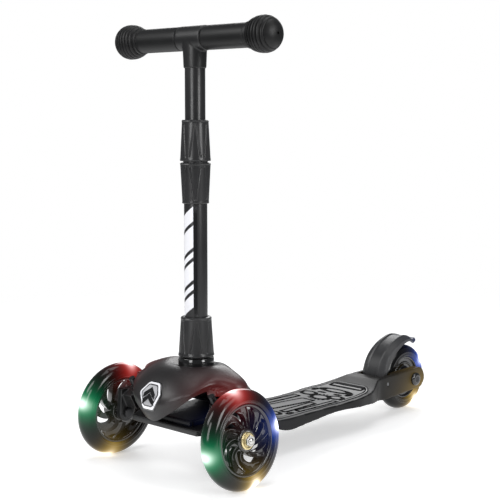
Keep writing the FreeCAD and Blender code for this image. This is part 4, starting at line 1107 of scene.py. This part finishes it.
def softened(node_name, voxel, rounds=4, keep=0.5):
    """A moulded copy of a CAD node with rounded corners."""
    piece = from_meshes(f"{node_name}_moulding", [frame["nodes"][node_name].data], merge=1e-6)
    modify(piece, "REMESH", mode="VOXEL", voxel_size=voxel * MM)
    modify(piece, "SMOOTH", factor=0.6, iterations=rounds)
    modify(piece, "DECIMATE", ratio=keep)
    shade(plain_mesh(piece).data, 50)
    return piece


DECK_SIDE = finish("deck side nylon", grey(0.008), 0.42, bump=0.3, dust=0.02, specular=0.2)
# Painted glow: the light of the right front wheel's blue lamp and the rear wheel's yellow lamp is painted into the
# deck side's emission.
painted_lamp_glow(DECK_SIDE, near_deck + [lamp_places("rear")[1]], core=0.0001, reach=0.03, strength=0.6)
settle(softened("deck", 1.2, rounds=3, keep=0.6), DECK_SIDE, "chassis", "deck_plastic", "deck")
settle(softened("bridge_plate", 1.0), SATIN, "chassis", "satin_plastic", "bridge_plate")
for knuckle in ("knuckle_left", "knuckle_right"):
    settle(softened(knuckle, 0.8), SATIN, knuckle, "satin_plastic", knuckle)

# %% [markdown]
# ## Brake fender
# The fender is a pressed channel that bends over the rear wheel, with two ridges along its back, a
# skirt down each side and a lifted tail for the heel. It is lofted: one cross-section is
# carried round the rear axle, and a short table gives its height over the tyre and its width.

# %% Brake fender


def along_table(table, t):
    """A smooth curve through the rows of a table, with t from 0 to 1."""
    spot = t * (len(table) - 1)
    index = min(int(spot), len(table) - 2)
    part = spot - index
    rows = [table[max(0, min(len(table) - 1, index + k))] for k in (-1, 0, 1, 2)]
    return [0.5 * (2 * b + (c - a) * part + (2 * a - 5 * b + 4 * c - d) * part ** 2
                   + (3 * b - a - 3 * c + d) * part ** 3) for a, b, c, d in zip(*rows)]


FENDER = [(183, 21.0, 19.5, 0.0, 6), (172, 21.6, 20, 1.2, 10), (158, 21.4, 20, 1.8, 13),
          (144, 20.8, 20, 1.8, 13.5), (130, 18.8, 20, 1.8, 12.5), (116, 17.2, 20, 1.8, 11),
          (103, 16.6, 19.5, 1.6, 9.5), (92, 15.0, 18, 1.0, 8), (82, 12.8, 15, 0.4, 7),
          (74, 10.6, 12.5, 0.0, 6.2), (69, 10.2, 11, 0.0, 5.8), (66, 11.8, 10, 0, 5.6),
          (63.5, 14.4, 9, 0, 5.4)]


def fender_section(angle, gap, half, ridge, skirt):
    """One closed cross-section of the fender, as places in the frame."""
    right = [(0.0, 0.0), (half * 0.40, 0.0), (half * 0.47, ridge), (half * 0.60, ridge), (half * 0.70, -0.5),
             (half * 0.90, -2.2), (half, -4.4), (half, -skirt + 0.8), (half - 0.8, -skirt)]
    inner = [(half - 2.4, -skirt), (half - 2.8, -5.2), (half * 0.66, -3.4), (0.0, -2.8)]
    chain = right + inner
    loop = chain + [(-x, r) for x, r in reversed(chain[1:-1])]
    turn = math.radians(angle)
    out = Vector((0, math.cos(turn), math.sin(turn)))
    return [REAR_AXLE + (Vector((x, 0, 0)) + out * (REAR_RADIUS + gap + r)) * MM for x, r in loop]


stations = [fender_section(*along_table(FENDER, step / 60)) for step in range(61)]
shield = rings("shield", stations, closed=False, sharp=35)
pin = Vector(JOINTS["brake_press"]["pos_m"])
barrel = turned("barrel", [(2.6, -17.5, 0.4), (6.0, -17.5, 1.2), (6.0, 17.5, 1.2), (2.6, 17.5, 0.4)],
                axle_frame(pin, (1, 0, 0)), 48)
fender = join("fender_brake_pressed", shield, barrel)
FENDER_NYLON = finish("fender nylon", grey(0.03), 0.38, bump=0.3)
# Painted glow: the light of the rear wheel's blue lamp is painted into the fender's emission.
painted_lamp_glow(FENDER_NYLON, [lamp_places("rear")[0]], core=0.0001, reach=0.02, strength=0.35)
settle(fender, FENDER_NYLON, "brake", "deck_plastic", "fender_brake")

# %% [markdown]
# ## Marks on the lower tube
# The tube carries printed marks: a climbing row of slanted bars in white and one gloss stripe. A
# print is a film on the surface, so each mark is a patch bent round the tube and a hair
# proud of it, which keeps its edge sharp from any distance.

# %% Printed marks


def mark(name, corners, radius, film=0.12, steps=14):
    """A patch on the column; its corners are (degrees, height) from bottom left, anticlockwise."""
    bottom_left, bottom_right, top_right, top_left = [Vector(corner) for corner in corners]
    points = []
    for level in (radius + film, radius - 0.3):
        for row in range(steps + 1):
            for column in range(steps + 1):
                below = bottom_left.lerp(bottom_right, column / steps)
                above = top_left.lerp(top_right, column / steps)
                degrees, height = below.lerp(above, row / steps)
                turn = math.radians(degrees)
                spot = Vector((level * math.cos(turn), level * math.sin(turn), height))
                points.append(column_place @ (spot * MM))
    edge = grid_edge(steps, steps)
    layer = (steps + 1) ** 2
    faces = (grid_faces(steps, steps) + grid_faces(steps, steps, layer)
             + walls(edge, [layer + number for number in edge]))
    return mesh_piece(name, points, faces)


BARS_LEFT, BARS_RIGHT, BAR_RISE = -126, -56, 7
BARS = [(195, 212), (217, 224), (229, 252), (257, 264), (269, 296), (301, 319)]
bars = [mark(f"bar_{number}", ((BARS_LEFT, low - BAR_RISE), (BARS_RIGHT, low + BAR_RISE),
                               (BARS_RIGHT, high + BAR_RISE), (BARS_LEFT, high - BAR_RISE)), LOWER_RADIUS)
        for number, (low, high) in enumerate(BARS)]
settle(join("speed_bars", *bars), WHITE, "chassis", "tube_black")
line = mark("gloss_line", ((-54, 190), (-36, 190), (-36, 326), (-54, 326)), LOWER_RADIUS, film=0.1)
settle(line, STRIPE, "chassis", "tube_black")
